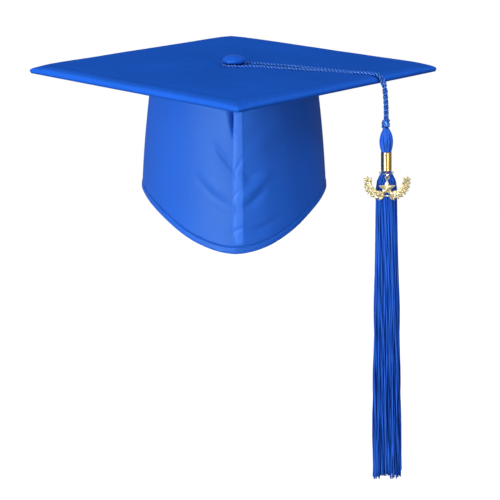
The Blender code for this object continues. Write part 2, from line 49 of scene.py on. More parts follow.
# Board
EDGE_ROLL, EDGE_WIDE = 3.9 * MM, 9.0 * MM  # the padded edge rolls over in an ellipse this high and wide
CORNER_FALL = 1.5 * MM  # how far the padding falls at a corner
HOLLOW = (14 * MM, 5 * MM, 0.35 * MM)  # the hollow inside the edge: inset, width, depth
CORNER = 2.0 * MM  # radius
DIMPLE_DEPTH, DIMPLE_FLAT, DIMPLE_RADIUS = 1.1 * MM, 10 * MM, 22 * MM
CLOTH = 0.45 * MM  # thickness of the satin
BOARD_COUNT = 360  # points round its outline
SMALLEST = 0.014  # share of the outline left open in the middle, under the button

# Crown: half width and half length at the board and at the hem, and the hem's line
CROWN_WIDE = (69.0 * MM, 78.6 * MM)
CROWN_LONG = (87.5 * MM, 95.0 * MM)
CROWN_BULGE = 0.9 * MM
PROW_POWER = 1.55
PEAK_DROP, PEAK_ANGLE, BACK_RISE = 31.8 * MM, 81, 8 * MM
HEM_BAND = 5.6  # from the hem's edge up to its stitched line, in millimetres
HEM_TOP = 7.2  # where the wall above the stitched line begins, in millimetres
HEM_TURN = 12 * MM  # height of the turned-up cloth inside
ELASTIC_START = 127.0  # degrees from the front

# Tassel
CORD_DIAMETER = 2.4 * MM
CORD_PITCH = 6.2 * MM  # length of one turn of its two plies
LOOP_RADIUS = 9.2 * MM
TASSEL_AZIMUTH = math.radians(-25.5)
LEAN = math.radians(1.7)
SKIRT_FLAT = 0.70
OUTWARD = np.array([math.cos(TASSEL_AZIMUTH), math.sin(TASSEL_AZIMUTH), 0])
SIDEWAYS = np.array([-math.sin(TASSEL_AZIMUTH), math.cos(TASSEL_AZIMUTH), 0])
UP = np.array([0.0, 0.0, 1.0])
BOARD_SIDE = 241 * MM

# Camera, at the photograph's angle
VIEW_AZIMUTH, VIEW_ELEVATION = -1.5, math.radians(16.75)  # degrees from the front, radians
VIEW_DISTANCE, VIEW_LENS = 1.30, 108.1
VIEW_AIM = (0.0135, -0.0575)  # across, and height

# Studio
FLOOR_HEIGHT = -2.5
OVERHEAD = 2.38  # light from above, in W/m2
OVERHEAD_TILT, OVERHEAD_BEARING, OVERHEAD_WIDE = 25, 50, 50  # degrees; it leans to the front right
ROOM_BEARING, ROOM_FRONT, ROOM_BACK = -35, 0.62, 0.26  # the strength towards its bearing, and behind
ROOM_FALL = (-0.35, 0.25)  # where it fades from one to the other, as cosines from the bearing
ROOM_COLOUR = (0.86, 0.92, 1.0)
KEY_BEARING, KEY_SIZE, KEY_SPREAD, KEY_POWER = -46, 0.7, 80, 7.0  # degrees, metres, degrees, watts
BEAM_BEARING, BEAM_SIZE, BEAM_SPREAD, BEAM_POWER = -38, 0.5, 13, 1.3
BEAM_COLOUR = (1.0, 0.85, 0.8)
LAMP_DISTANCE, LAMP_HEIGHT = 1.6, 0.20  # of the key and the beam
KEY_AIM, BEAM_AIM = (-0.03, 0, 0.04), (-0.05, 0, 0.04)
STRIP_PLACE, STRIP_AIM, STRIP_SIZE, STRIP_POWER = (0.75, -1.25, -0.05), (0.11, 0, 0), (0.42, 1.0), 5.0

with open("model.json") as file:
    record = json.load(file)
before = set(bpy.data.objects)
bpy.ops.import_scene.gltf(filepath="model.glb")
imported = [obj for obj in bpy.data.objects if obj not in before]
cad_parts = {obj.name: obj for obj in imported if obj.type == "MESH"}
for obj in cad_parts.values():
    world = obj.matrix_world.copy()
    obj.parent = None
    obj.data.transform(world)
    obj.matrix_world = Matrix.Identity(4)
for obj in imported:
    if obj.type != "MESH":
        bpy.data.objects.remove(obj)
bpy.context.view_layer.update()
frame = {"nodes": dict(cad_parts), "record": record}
BOARD_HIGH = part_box("top_cover")[1]
UNDER_LOW, UNDER_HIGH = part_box("under_cover")
KNOT_LOW, KNOT_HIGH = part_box("cord_knot")
JOINTS = {joint["name"]: joint for joint in frame["record"]["behaviour"]["joints"]}
KNOT_PLACE = np.array(JOINTS["tassel_swing"]["pos_m"])  # top of the knot, on the tassel's leaning axis
CHARM_PLACE = np.array(JOINTS["charm_swing"]["pos_m"])  # front of the charm's ring
BOARD_TOP = BOARD_HIGH.z
BOARD_REACH = BOARD_HIGH.x + CORNER * (math.sqrt(2) - 1)  # half the diagonal, to the sharp corner
CROWN_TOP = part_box("crown_panel_right")[1].z
EDGE_RADIUS = BOARD_SIDE / math.sqrt(2) / (math.cos(TASSEL_AZIMUTH) - math.sin(TASSEL_AZIMUTH))


# ---------------------------------------------------------------- noise and meshes

def waves(x, y, seed, scale, octaves):
    """Smooth repeatable noise from -1 to 1 over two arrays: a few sine waves in scattered directions."""
    draw = np.random.default_rng(seed)
    total = np.zeros(np.broadcast(x, y).shape)
    for octave in range(octaves):
        for _ in range(5):
            angle, phase = draw.uniform(0, 2 * math.pi, 2)
            pitch = 2 * math.pi / scale * 1.9**octave * draw.uniform(0.7, 1.3)
            total += np.sin(pitch * (x * math.cos(angle) + y * math.sin(angle)) + phase) / 1.8**octave
    return total / 5


def smoothstep(low, high, value):
    share = np.clip((value - low) / (high - low), 0, 1)
    return share * share * (3 - 2 * share)


def stack(*parts):
    """Arrays as the coordinates of points."""
    return np.stack(np.broadcast_arrays(*parts), -1)


def arc(first, last, count):
    """Angles spread evenly between two, given in degrees."""
    return np.radians(np.linspace(first, last, count))


def full_turn(count):
    """Angles spread evenly all the way round."""
    return np.linspace(0, 2 * math.pi, count, endpoint=False)


def run_along(path):
    """The length along a path from its start to each of its points."""
    return np.concatenate([[0], np.cumsum(np.linalg.norm(np.diff(path, axis=0), axis=1))])


def mesh_object(name, points, faces, uv=None, attributes=None):
    """An object from arrays. uv holds one pair for each point, in metres of cloth."""
    mesh = bpy.data.meshes.new(name)
    faces = faces if isinstance(faces, list) else faces.tolist()
    mesh.from_pydata(points.reshape(-1, 3).tolist(), [], faces)
    mesh.shade_smooth()
    if uv is not None:
        corners = np.zeros(len(mesh.loops), np.int32)
        mesh.loops.foreach_get("vertex_index", corners)
        layer = mesh.uv_layers.new(name="cloth")
        layer.data.foreach_set("uv", uv.reshape(-1, 2)[corners].astype(np.float32).ravel())
    for key, values in (attributes or {}).items():
        attribute = mesh.attributes.new(key, "FLOAT", "POINT")
        attribute.data.foreach_set("value", values.astype(np.float32))
    obj = bpy.data.objects.new(name, mesh)
    bpy.context.scene.collection.objects.link(obj)
    return obj


def grid_faces(rows, columns, closed=False):
    """Quads between the rows of a grid of points. closed joins the last column to the first."""
    across = columns if closed else columns - 1
    i, j = np.meshgrid(np.arange(rows - 1), np.arange(across), indexing="ij")
    k = (j + 1) % columns
    row, following = i * columns, (i + 1) * columns
    return stack(row + j, row + k, following + k, following + j).reshape(-1, 4)


def ring_object(name, rings, uvs=None, inside_out=False, attributes=None):
    """An object from closed rings of points, each joined to the next."""
    rings = np.array(rings)
    faces = grid_faces(*rings.shape[:2], closed=True)
    cloth = None if uvs is None else np.array(uvs)
    return mesh_object(name, rings, faces[:, ::-1] if inside_out else faces, cloth, attributes)


def weld(obj):
    """Joins the first and the last ring of a piece that closes on itself."""
    obj.modifiers.new("close", "WELD").merge_threshold = 1e-6


def thicken(obj, thickness):
    """Gives a sheet its thickness, inwards from its points."""
    solidify = obj.modifiers.new("thickness", "SOLIDIFY")
    solidify.thickness = thickness
    solidify.offset = -1
    solidify.use_even_offset = False


def piece(obj, body, look, slot, stands_for=()):
    """Gives a piece the material of one of the LOOKS and its body, and hides the CAD nodes that it stands
    for.
    """
    obj.data.materials.clear()
    obj.data.materials.append(LOOKS[look])
    if body:
        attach(obj, body)
    if stands_for:
        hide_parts(*stands_for)
    return obj


def headings(path):
    """The unit vector along a path at each of its points."""
    ahead = np.gradient(path, axis=0)
    return ahead / np.linalg.norm(ahead, axis=1)[:, None]


def frames_along(path):
    """Two unit vectors across each point of a path, carried along it without twisting."""
    ahead = headings(path)
    first = np.cross(ahead[0], UP if abs(ahead[0][2]) < 0.9 else OUTWARD)
    across = [first / np.linalg.norm(first)]
    for i in range(1, len(path)):
        carried = across[-1] - ahead[i] * (across[-1] @ ahead[i])
        across.append(carried / np.linalg.norm(carried))
    across = np.array(across)
    return across, np.cross(ahead, across)


def tube_points(path, radius, sides, lobes=0, pitch=1.0, depth=0.0, phase=0.0, press=None):
    """Rings of points round a path. With lobes, the section is a rope's, turning once in every pitch.

    press is a pair of arrays: the way to a neighbouring cord at each point, and how much the section is
    flattened against it there.
    """
    across, over = frames_along(path)
    run = run_along(path)
    angle = full_turn(sides)
    wide = np.ones((len(path), sides))
    groove_shade = np.zeros(wide.shape)
    if lobes:
        spin = 2 * math.pi * run / pitch + phase
        ply = np.abs(np.cos(lobes * (angle[None, :] - spin[:, None]) / 2))
        wide = 1 - depth + depth * np.sqrt(ply + 0.02)
        # how deep each point lies in a groove between the plies; the yarn's material paints shade there
        groove_shade = 1 - ply
    cosine, sine = np.cos(angle)[None, :, None], np.sin(angle)[None, :, None]
    way = across[:, None, :] * cosine + over[:, None, :] * sine
    if press is not None:
        towards, amount = press
        share = np.einsum("ijk,ik->ij", way, towards) ** 2
        wide = wide * (1 + amount[:, None] * (1 - 1.5 * share))
    ring = path[:, None, :] + way * (wide * radius)[..., None]
    uv = stack(angle[None, :] * radius, run[:, None])
    return ring, uv, groove_shade


def rope_mesh(name, paths, radius, sides, **shape):
    """One mesh of closed tubes along several paths, with a number for each point and how deep it lies in a
    groove, for painted shade.
    """
    points, faces, uvs, strand, groove_shades = [], [], [], [], []
    start = 0
    for index, path in enumerate(paths):
        ring, uv, groove_shade = tube_points(path, radius, sides, phase=index * 1.3, **shape)
        count = len(path)
        points += [ring.reshape(-1, 3), path[:1], path[-1:]]
        uvs += [uv.reshape(-1, 2), uv[0, :1], uv[-1, :1]]
        strand.append(np.full(count * sides + 2, index, float))
        groove_shades += [groove_shade.ravel(), np.zeros(2)]
        faces += (grid_faces(count, sides, closed=True)[:, ::-1] + start).tolist()
        first, last = start + count * sides, start + count * sides + 1
        for j in range(sides):
            k = (j + 1) % sides
            faces.append([start + j, start + k, first])
            faces.append([start + (count - 1) * sides + k, start + (count - 1) * sides + j, last])
        start += count * sides + 2
    attributes = {"strand": np.concatenate(strand), "groove_shade": np.concatenate(groove_shades)}
    return mesh_object(name, np.concatenate(points), faces, np.concatenate(uvs), attributes)


def smooth_path(points, count):
    """Points spread evenly along a smooth curve through the given ones (Catmull-Rom)."""
    points = np.asarray(points, float)
    padded = np.vstack([2 * points[0] - points[1], points, 2 * points[-1] - points[-2]])
    t = np.arange(24)[:, None] / 24
    fine = []
    for a, b, c, d in zip(padded, padded[1:], padded[2:], padded[3:]):
        square, cube = 2 * a - 5 * b + 4 * c - d, 3 * b - a - 3 * c + d
        fine.append(0.5 * (2 * b + (c - a) * t + square * t**2 + cube * t**3))
    fine = np.vstack([*fine, points[-1:]])
    run = run_along(fine)
    even = np.linspace(0, run[-1], count)
    return stack(*(np.interp(even, run, fine[:, k]) for k in range(3)))


# ---------------------------------------------------------------- materials

GLOSS_TINT = (0.45, 0.85, 0.9, 1)  # dyed fibres colour the light that they reflect
SATIN_WEAVE = 0.42 * MM
WAVE_LENGTH = 0.314  # of a wave texture at a scale of 1, in metres


def scaled(colour, factor):
    return tuple(min(channel * factor, 1) for channel in colour)


class Nodes:
    """Short calls for building a material's node tree."""

    def __init__(self, name):
        self.material = bpy.data.materials.new(name)
        self.material.use_nodes = True
        self.tree = self.material.node_tree
        self.shader = self.tree.nodes["Principled BSDF"]

    def add(self, kind, **settings):
        node = self.tree.nodes.new(kind)
        for key, value in settings.items():
            if key in node.inputs:
                node.inputs[key].default_value = value
            else:
                setattr(node, key, value)
        return node

    def link(self, output, target):
        self.tree.links.new(output, target)

    def cloth(self):
        """Place on the cloth, in metres."""
        return self.add("ShaderNodeUVMap", uv_map="cloth").outputs["UV"]

    def space(self):
        """Place on the object, in metres."""
        return self.add("ShaderNodeTexCoord").outputs["Object"]

    def own(self, attribute):
        return self.add("ShaderNodeAttribute", attribute_name=attribute).outputs["Fac"]

    def texture(self, kind, place, **settings):
        node = self.add(kind, **settings)
        self.link(place, node.inputs["Vector"])
        return node

    def noise(self, place, **settings):
        return self.texture("ShaderNodeTexNoise", place, **settings).outputs["Fac"]

    def wave(self, place, direction, length, **settings):
        """Bands across a direction, each one length wide."""
        settings["Scale"] = WAVE_LENGTH / length
        return self.texture("ShaderNodeTexWave", place, bands_direction=direction, **settings).outputs["Fac"]

    def math(self, operation, a, b):
        node = self.add("ShaderNodeMath", operation=operation)
        for socket, value in zip(node.inputs, (a, b)):
            if isinstance(value, (int, float)):
                socket.default_value = value
            else:
                self.link(value, socket)
        return node.outputs[0]

    def weighted(self, a, a_share, b, b_share):
        return self.math("ADD", self.math("MULTIPLY", a, a_share), self.math("MULTIPLY", b, b_share))

    def ramp(self, factor, stops):
        node = self.tree.nodes.new("ShaderNodeValToRGB")
        while len(node.color_ramp.elements) < len(stops):
            node.color_ramp.elements.new(0.5)
        for element, (place, colour) in zip(node.color_ramp.elements, stops):
            element.position = place
            element.color = (*colour, 1)
        self.link(factor, node.inputs["Fac"])
        return node.outputs["Color"]

    def colour(self, tone):
        self.link(tone, self.shader.inputs["Base Color"])

    def rough(self, factor, low, high):
        """Roughness that follows a factor from low to high."""
        between = self.add("ShaderNodeMapRange", **{"To Min": low, "To Max": high})
        self.link(factor, between.inputs["Value"])
        self.link(between.outputs["Result"], self.shader.inputs["Roughness"])

    def bump(self, height, strength, distance):
        lift = self.add("ShaderNodeBump", Strength=strength, Distance=distance)
        self.link(height, lift.inputs["Height"])
        self.link(lift.outputs["Normal"], self.shader.inputs["Normal"])

    def set(self, **values):
        for key, value in values.items():
            self.shader.inputs[key.replace("_", " ")].default_value = value


def satin(name, colour, roughness, gloss, seed, painted_rim_highlight=0.0):
    """Polyester satin: a fine twill that catches the light, long floats, and faint wear in its tone."""
    nodes = Nodes(name)
    place = nodes.cloth()
    weft = nodes.wave(place, "DIAGONAL", SATIN_WEAVE, Distortion=0.6)
    shift = (seed * 3.1, seed * 1.7, 0)
    drawn = nodes.texture("ShaderNodeMapping", place, Scale=(900, 60, 1), Location=shift)
    slub = nodes.noise(drawn.outputs["Vector"], Scale=1.0)
    cloud = nodes.noise(nodes.space(), Scale=14.0, Detail=3.0)
    mixed = nodes.weighted(slub, 0.45, cloud, 0.55)
    tone = nodes.ramp(mixed, [(0.32, scaled(colour, 0.9)), (0.68, scaled(colour, 1.1))])
    if painted_rim_highlight:  # painted highlight: the colour is made lighter where the cloth rolls round an edge, standing in for light on the rim
        lighter = nodes.add("ShaderNodeVectorMath", operation="SCALE")
        nodes.link(tone, lighter.inputs[0])
        pulled = nodes.math("MULTIPLY", nodes.own("painted_rim_highlight"), painted_rim_highlight)
        nodes.link(nodes.math("ADD", pulled, 1.0), lighter.inputs["Scale"])
        tone = lighter.outputs["Vector"]
    nodes.colour(tone)
    nodes.rough(mixed, roughness - 0.05, roughness + 0.07)
    nodes.bump(nodes.weighted(weft, 0.6, slub, 1.0), 0.25, 0.08 * MM)
    nodes.set(Specular_IOR_Level=gloss, Specular_Tint=GLOSS_TINT)
    return nodes.material


def plain_cloth(name, colour, thread=0.5 * MM, roughness=0.8):
    """A plain weave with threads crossing both ways, for lining, elastic and interfacing."""
    nodes = Nodes(name)
    place = nodes.cloth()
    threads = [nodes.wave(place, direction, thread, Distortion=0.8) for direction in ("X", "Y")]
    fuzz = nodes.noise(place, Scale=300)
    mixed = nodes.weighted(nodes.math("MAXIMUM", *threads), 0.6, fuzz, 0.4)
    nodes.colour(nodes.ramp(mixed, [(0.2, scaled(colour, 0.78)), (0.85, scaled(colour, 1.12))]))
    nodes.bump(mixed, 0.5, 0.12 * MM)
    nodes.set(Roughness=roughness, Sheen_Weight=0.2, Specular_IOR_Level=0.3)
    return nodes.material


def silk_yarn(name, colour, crest_highlight, pitch, roughness=0.40, gloss=0.4):
    """Twisted rayon: fine slanted fibres, a tone of its own for each strand, painted shade in the grooves and
    a painted highlight on the crests.
    """
    nodes = Nodes(name)
    fibre = nodes.wave(nodes.cloth(), "DIAGONAL", pitch, Distortion=1.5, Detail=1.0)
    strand = nodes.math("FRACT", nodes.math("MULTIPLY", nodes.own("strand"), 0.6180339), 0.0)
    lit = nodes.math("ADD", nodes.weighted(fibre, 0.3, strand, 0.5), 0.32)
    # painted shade: darker the deeper a point lies in a groove; the ramp's last colour is a painted highlight
    # on the crests
    shaded = nodes.math("SUBTRACT", lit, nodes.math("MULTIPLY", nodes.own("groove_shade"), 0.75))
    stops = [(0.0, scaled(colour, 0.15)), (0.35, scaled(colour, 0.7)), (0.75, crest_highlight)]
    nodes.colour(nodes.ramp(shaded, stops))
    nodes.bump(fibre, 0.45, 0.15 * MM)
    nodes.set(Roughness=roughness, Specular_IOR_Level=gloss, Specular_Tint=GLOSS_TINT)
    return nodes.material


def metal(name, colour, roughness, depth=0.15):
    nodes = Nodes(name)
    grain = nodes.noise(nodes.space(), Scale=1200, Detail=4)
    nodes.colour(nodes.ramp(grain, [(0.3, scaled(colour, 0.88)), (0.7, scaled(colour, 1.08))]))
    nodes.rough(grain, roughness - 0.06, roughness + 0.08)
    nodes.bump(grain, depth, 0.05 * MM)
    nodes.set(Metallic=1.0)
    return nodes.material


def glitter(name, colour):
    """Pale gold with fine facets that each face their own way."""
    nodes = Nodes(name)
    grain = nodes.texture("ShaderNodeTexVoronoi", nodes.space(), Scale=1300)
    split = nodes.add("ShaderNodeSeparateColor")
    nodes.link(grain.outputs["Color"], split.inputs["Color"])
    stops = [(0.0, scaled(colour, 0.30)), (0.6, colour), (1.0, (1.0, 0.95, 0.70))]
    nodes.colour(nodes.ramp(split.outputs["Red"], stops))
    nodes.bump(nodes.weighted(grain.outputs["Distance"], 1.0, split.outputs["Green"], 0.8), 0.7, 0.15 * MM)
    nodes.set(Metallic=0.75, Roughness=0.42)
    return nodes.material


BLUE = (0.003, 0.060, 0.37)
COVER_BLUE = (0.0085, 0.064, 0.345)
LOOKS = {
    # the cover's rolled rim gets a painted highlight, up to 0.22 lighter
    "cover": satin("satin_cover", COVER_BLUE, 0.6, 0.0, seed=1, painted_rim_highlight=0.22),
    "under": satin("satin_under", scaled(COVER_BLUE, 0.85), 0.7, 0.05, seed=2),
    "crown": satin("satin_crown", BLUE, 0.62, 0.5, seed=3),
    # the strip is the crown's blue made 1.3 times lighter: a painted highlight, for the key light that the
    # strip doesn't catch
    "strip": satin("satin_strip", scaled(BLUE, 1.3), 0.60, 0.9, seed=5),
    "button": satin("satin_button", scaled(BLUE, 1.1), 0.55, 0.3, seed=4),
    "lining": plain_cloth("lining_weave", (0.011, 0.065, 0.33)),
    "felt": plain_cloth("interfacing", (0.72, 0.72, 0.69), 0.8 * MM, 0.9),
    "elastic": plain_cloth("elastic_webbing", (0.80, 0.80, 0.78), 1.1 * MM, 0.7),
    "foam": plain_cloth("wadding", (0.80, 0.80, 0.78), 0.9 * MM, 0.95),
    "card": plain_cloth("chipboard", (0.40, 0.35, 0.28), 0.3 * MM, 0.85),
    "steel": metal("button_steel", (0.62, 0.63, 0.65), 0.35),
    # each yarn's second colour is the painted highlight on the crests of its plies
    "cord": silk_yarn("cord_rayon", (0.020, 0.13, 0.66), (0.12, 0.33, 1.0), 0.35 * MM, 0.45, 0.35),
    "yarn": silk_yarn("tassel_rayon", (0.005, 0.062, 0.41), (0.026, 0.115, 0.57), 0.45 * MM, 0.65, 0.05),
    "band": metal("gold_band", (0.80, 0.55, 0.18), 0.11, depth=0.05),
    "ring": metal("gold_wire", (0.90, 0.70, 0.34), 0.22),
    "charm": glitter("gold_glitter", (0.58, 0.48, 0.22)),
    "thread": silk_yarn("sewing_thread", (0.008, 0.075, 0.42), (0.03, 0.14, 0.6), 0.2 * MM),
}


# ---------------------------------------------------------------- board

def square_outline(inset, count, corner=CORNER):
    """The board's outline drawn in by inset, with its corners on X and Y, as evenly spread points."""
    reach = BOARD_REACH - inset * math.sqrt(2)
    corner = max(corner - inset, 0.35 * MM)
    centre = reach - corner * math.sqrt(2)
    fine = []
    for quarter in range(4):
        facing = math.pi / 2 * quarter
        angle = facing + np.linspace(-math.pi / 4, math.pi / 4, 9)
        middle = centre * np.array([math.cos(facing), math.sin(facing)])
        fine.append(middle + corner * stack(np.cos(angle), np.sin(angle)))
    rows = []
    per_side = count // 4 - 9
    share = np.linspace(0, 1, per_side + 2)[1:-1, None]
    for bend, following in zip(fine, fine[1:] + fine[:1]):
        rows += [bend, bend[-1] * (1 - share) + following[0] * share]
    return np.vstack(rows)


def dimple(radius):
    share = np.clip((radius - DIMPLE_FLAT) / (DIMPLE_RADIUS - DIMPLE_FLAT), 0, 1)
    return DIMPLE_DEPTH * (1 + np.cos(math.pi * share)) / 2


def board_relief(x, y):
    """How far the padded top stands off its plane: creases towards the button, a hollow inside the rim."""
    radius, turn = np.hypot(x, y), np.arctan2(y, x)
    creases = np.sin(7 * turn + 0.8) + 0.6 * np.sin(12 * turn + 2.1) + 0.5 * np.sin(19 * turn)
    near = np.exp(-((radius - 15 * MM) / (9 * MM)) ** 2)
    pulled = np.sin(5 * turn + 1.1) + 0.7 * np.sin(9 * turn + 0.4)
    far = np.exp(-((radius - 45 * MM) / (26 * MM)) ** 2)
    inset = (BOARD_REACH - np.abs(x) - np.abs(y)) / math.sqrt(2)
    hollow = np.exp(-((inset - HOLLOW[0]) / HOLLOW[1]) ** 2)
    relief = 0.20 * MM * creases * near + 0.22 * MM * pulled * far - HOLLOW[2] * hollow
    return relief + 0.30 * MM * waves(x, y, 11, 0.09, 2) + 0.05 * MM * waves(x, y * 2.5, 12, 0.02, 1)


def padded_height(x, y):
    """The relief with the button's dimple."""
    return board_relief(x, y) - dimple(np.hypot(x, y))


def corner_fall(x, y):
    """How far the padding falls away into each corner."""
    away = BOARD_REACH - np.maximum(np.abs(x), np.abs(y))
    return CORNER_FALL * np.exp(-((away / (11 * MM)) ** 2))


def edge_profile(seam):
    """The padded edge, from the top round to the seam beneath, as (inset, fall) pairs."""
    roll = [(EDGE_WIDE * (1 - math.sin(a)), -EDGE_ROLL * (1 - math.cos(a))) for a in arc(6, 90, 18)]
    lower = BOARD_TOP - seam - EDGE_ROLL
    return roll + [(1.5 * MM * (1 - math.cos(a)), -EDGE_ROLL - lower * math.sin(a)) for a in arc(15, 90, 6)]


def flat_rings(outline, shares, height):
    """An outline drawn in by each share: its rings, at the heights that a function gives, and their cloth."""
    flats = [outline * share for share in shares]
    return [stack(*flat.T, height(*flat.T)) for flat in flats], flats


def make_top_cover():
    outline = square_outline(EDGE_WIDE, BOARD_COUNT)
    shares = np.concatenate([np.linspace(SMALLEST, 0.18, 30), np.linspace(0.18, 1, 76)[1:]])
    rings, uvs = flat_rings(outline, shares, lambda x, y: BOARD_TOP + padded_height(x, y) - corner_fall(x, y))
    # pulled: how far each ring has rolled down the padded edge; the cover's colour is made lighter by it, a
    # painted highlight on the rim
    pulled = [0.0] * len(rings)
    seam = UNDER_HIGH.z + 0.25 * MM
    run, last = 0.0, (EDGE_WIDE, 0.0)
    for inset, fall in edge_profile(seam):
        x, y = square_outline(inset, BOARD_COUNT).T
        run += math.hypot(inset - last[0], fall - last[1])
        last = (inset, fall)
        puff = 0.25 * MM * math.sin(math.pi * min(-fall / (5 * MM), 1))
        wider = 1 + puff * waves(x + 0.3 * y, y - x, 13, 0.05, 2) / np.hypot(x, y)
        relief = board_relief(x, y) * max(1 + fall / EDGE_ROLL, 0)
        drop = corner_fall(x, y) * (1 + fall / (BOARD_TOP - seam))
        rings.append(stack(x * wider, y * wider, BOARD_TOP + fall + relief - drop))
        uvs.append(outline * (1 + run / BOARD_REACH))
        pulled.append(smoothstep(0.25, 0.6, -fall / EDGE_ROLL))
    painted_rim_highlight = np.repeat(pulled, BOARD_COUNT)
    obj = ring_object("satin_top_cover", rings, uvs, attributes={"painted_rim_highlight": painted_rim_highlight})
    thicken(obj, CLOTH)
    piece(obj, "cap", "cover", "cover_satin", ["top_cover"])


def make_under_cover():
    edge = 1.1 * MM
    outline = square_outline(edge, BOARD_COUNT)[::-1]
    middle = (UNDER_LOW.z + UNDER_HIGH.z) / 2

    def height(x, y):
        relief = 0.12 * MM * waves(x, y, 21, 0.09, 2) + 0.05 * MM * waves(x, y, 22, 0.02, 1)
        return UNDER_LOW.z + 0.1 * MM + relief

    rings, uvs = flat_rings(outline, np.linspace(SMALLEST, 1, 70), height)
    for angle in arc(0, 150, 8):
        x, y = square_outline(edge - 0.55 * MM * math.sin(angle), BOARD_COUNT)[::-1].T
        relief = 0.05 * MM * waves(x, y, 23, 0.03, 1)
        rings.append(stack(x, y, middle - 0.32 * MM * math.cos(angle) + relief))
        uvs.append(outline * (1 + 0.001 * angle))
    obj = ring_object("satin_under_cover", rings, uvs)
    thicken(obj, 0.3 * MM)
    piece(obj, "cap", "under", "under_satin", ["under_cover"])


def make_wadding():
    """The wadding under the top cover, drawn in where the padded edge rolls over."""
    count = 160
    low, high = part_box("board_padding")
    inner = square_outline(EDGE_WIDE + 0.8 * MM, count, 26 * MM)
    rings, uvs = flat_rings(
        inner, np.linspace(SMALLEST, 1, 30), lambda x, y: high.z + padded_height(x, y) - 0.1 * MM
    )
    for inset, fall in ((6, 0.3), (4, 0.75), (2.8, 1.3), (2.4, (high.z - low.z) / MM)):
        ring = square_outline(inset * MM, count)
        rings.append(stack(*ring.T, high.z - fall * MM))
        uvs.append(ring)
    base = square_outline(2.4 * MM, count, 22 * MM)
    below, flats = flat_rings(base, np.linspace(1, SMALLEST, 10), lambda x, y: low.z)
    obj = ring_object("wadding", rings + below + rings[:1], uvs + flats + uvs[:1])
    weld(obj)
    piece(obj, "cap", "foam", "padding_foam", ["board_padding"])


# ---------------------------------------------------------------- crown

def crown_base(degrees, height):
    """A point of the crown's outer surface before its folds, for arrays of angles and heights."""
    share = (CROWN_TOP - height) / CROWN_TOP
    bulge = CROWN_BULGE * np.sin(math.pi * np.clip(share, 0, 1))
    wide = CROWN_WIDE[0] + (CROWN_WIDE[1] - CROWN_WIDE[0]) * share + bulge
    long = CROWN_LONG[0] + (CROWN_LONG[1] - CROWN_LONG[0]) * share + bulge
    across = np.sin(np.radians(degrees))
    front = -np.sqrt(np.maximum(1 - np.abs(across) ** PROW_POWER, 0))
    along = np.where(np.abs(degrees) <= 90, front, -np.cos(np.radians(degrees)))
    return stack(wide * across, long * along, height)


def hem_height(degrees):
    turn = np.abs(degrees)
    front = -PEAK_DROP * (1 + np.cos(math.pi * np.minimum(turn, PEAK_ANGLE) / PEAK_ANGLE)) / 2
    behind = np.maximum(turn - PEAK_ANGLE, 0) / (180 - PEAK_ANGLE)
    return front + BACK_RISE * (1 - np.cos(math.pi * behind)) / 2


# Creases near the front seam: each a bent line of (across, height), its width and its rise, in millimetres
CREASES = (
    (((-17, 56), (-10, 46.5), (-3, 37)), 2.0, -1.2),
    (((-17, 48), (-10, 40), (-3.5, 32)), 2.8, 0.7),
    (((-14, 42), (-8, 34), (-3, 27)), 1.7, -0.35),
    (((-31, 28), (-20, 15), (-4, 6)), 2.6, -0.75),
    (((-27, 33), (-15, 21), (-4, 13)), 4.0, 0.60),
    (((-23, 8), (-12, 1), (-3, -3)), 3.0, -0.40),
    (((-14, -12), (-8, -15), (-3, -17)), 2.4, -0.35),
    (((6, 34), (10.5, 29.5), (16, 32)), 3.4, -1.1),
    (((6, 14), (14, 21), (25, 30)), 3.6, 1.35),
    (((5, 5), (12, 8), (22, 17)), 3.0, -1.15),
    (((7, -13), (18, -13.5), (35, -6)), 3.2, -1.0),
    (((7, 60), (15, 64), (28, 72)), 5.0, -0.5),
    (((7, 47), (16, 52), (28, 60)), 5.5, 0.45),
    (((-3, 30), (1, 38), (7, 50)), 1.5, -0.55),
    (((-3, 12), (-1, 15.5), (2.5, 20)), 1.1, -0.50),
    (((-3, -15), (1, -12), (9, -9.0)), 1.5, -0.70),
    (((-2, 66), (2, 70), (6, 78)), 4.0, -0.45),
)
PLEAT = (9.5, 60, 4.2)  # the pinch beside the seam under the board: its width, its foot and its depth


def crease_relief(x, z):
    """The height of all the creases, in millimetres, at points in millimetres across and up."""
    relief = np.zeros(np.broadcast(x, z).shape)
    for line, width, rise in CREASES:
        nearest = np.full(relief.shape, 1e9)
        along = np.zeros(relief.shape)
        for index, ((ax, az), (bx, bz)) in enumerate(zip(line, line[1:])):
            wide, high = bx - ax, bz - az
            share = np.clip(((x - ax) * wide + (z - az) * high) / (wide * wide + high * high), 0, 1)
            gap = np.hypot(x - ax - share * wide, z - az - share * high)
            along = np.where(gap < nearest, (index + share) / (len(line) - 1), along)
            nearest = np.minimum(gap, nearest)
        taper = np.sin(math.pi * np.clip(0.12 + 0.76 * along, 0, 1))
        relief = relief + rise * taper * np.exp(-((nearest / width) ** 2))
    wide, foot, depth = PLEAT
    reach = wide * np.clip((z - foot) / (98 - foot), 0, 1) + 0.3
    beside = np.clip((x + 2.6 + reach) / reach, 0, 1) * smoothstep(-0.4, -2.4, x)
    return relief - depth * beside**2 * smoothstep(foot - 2, foot + 18, z)


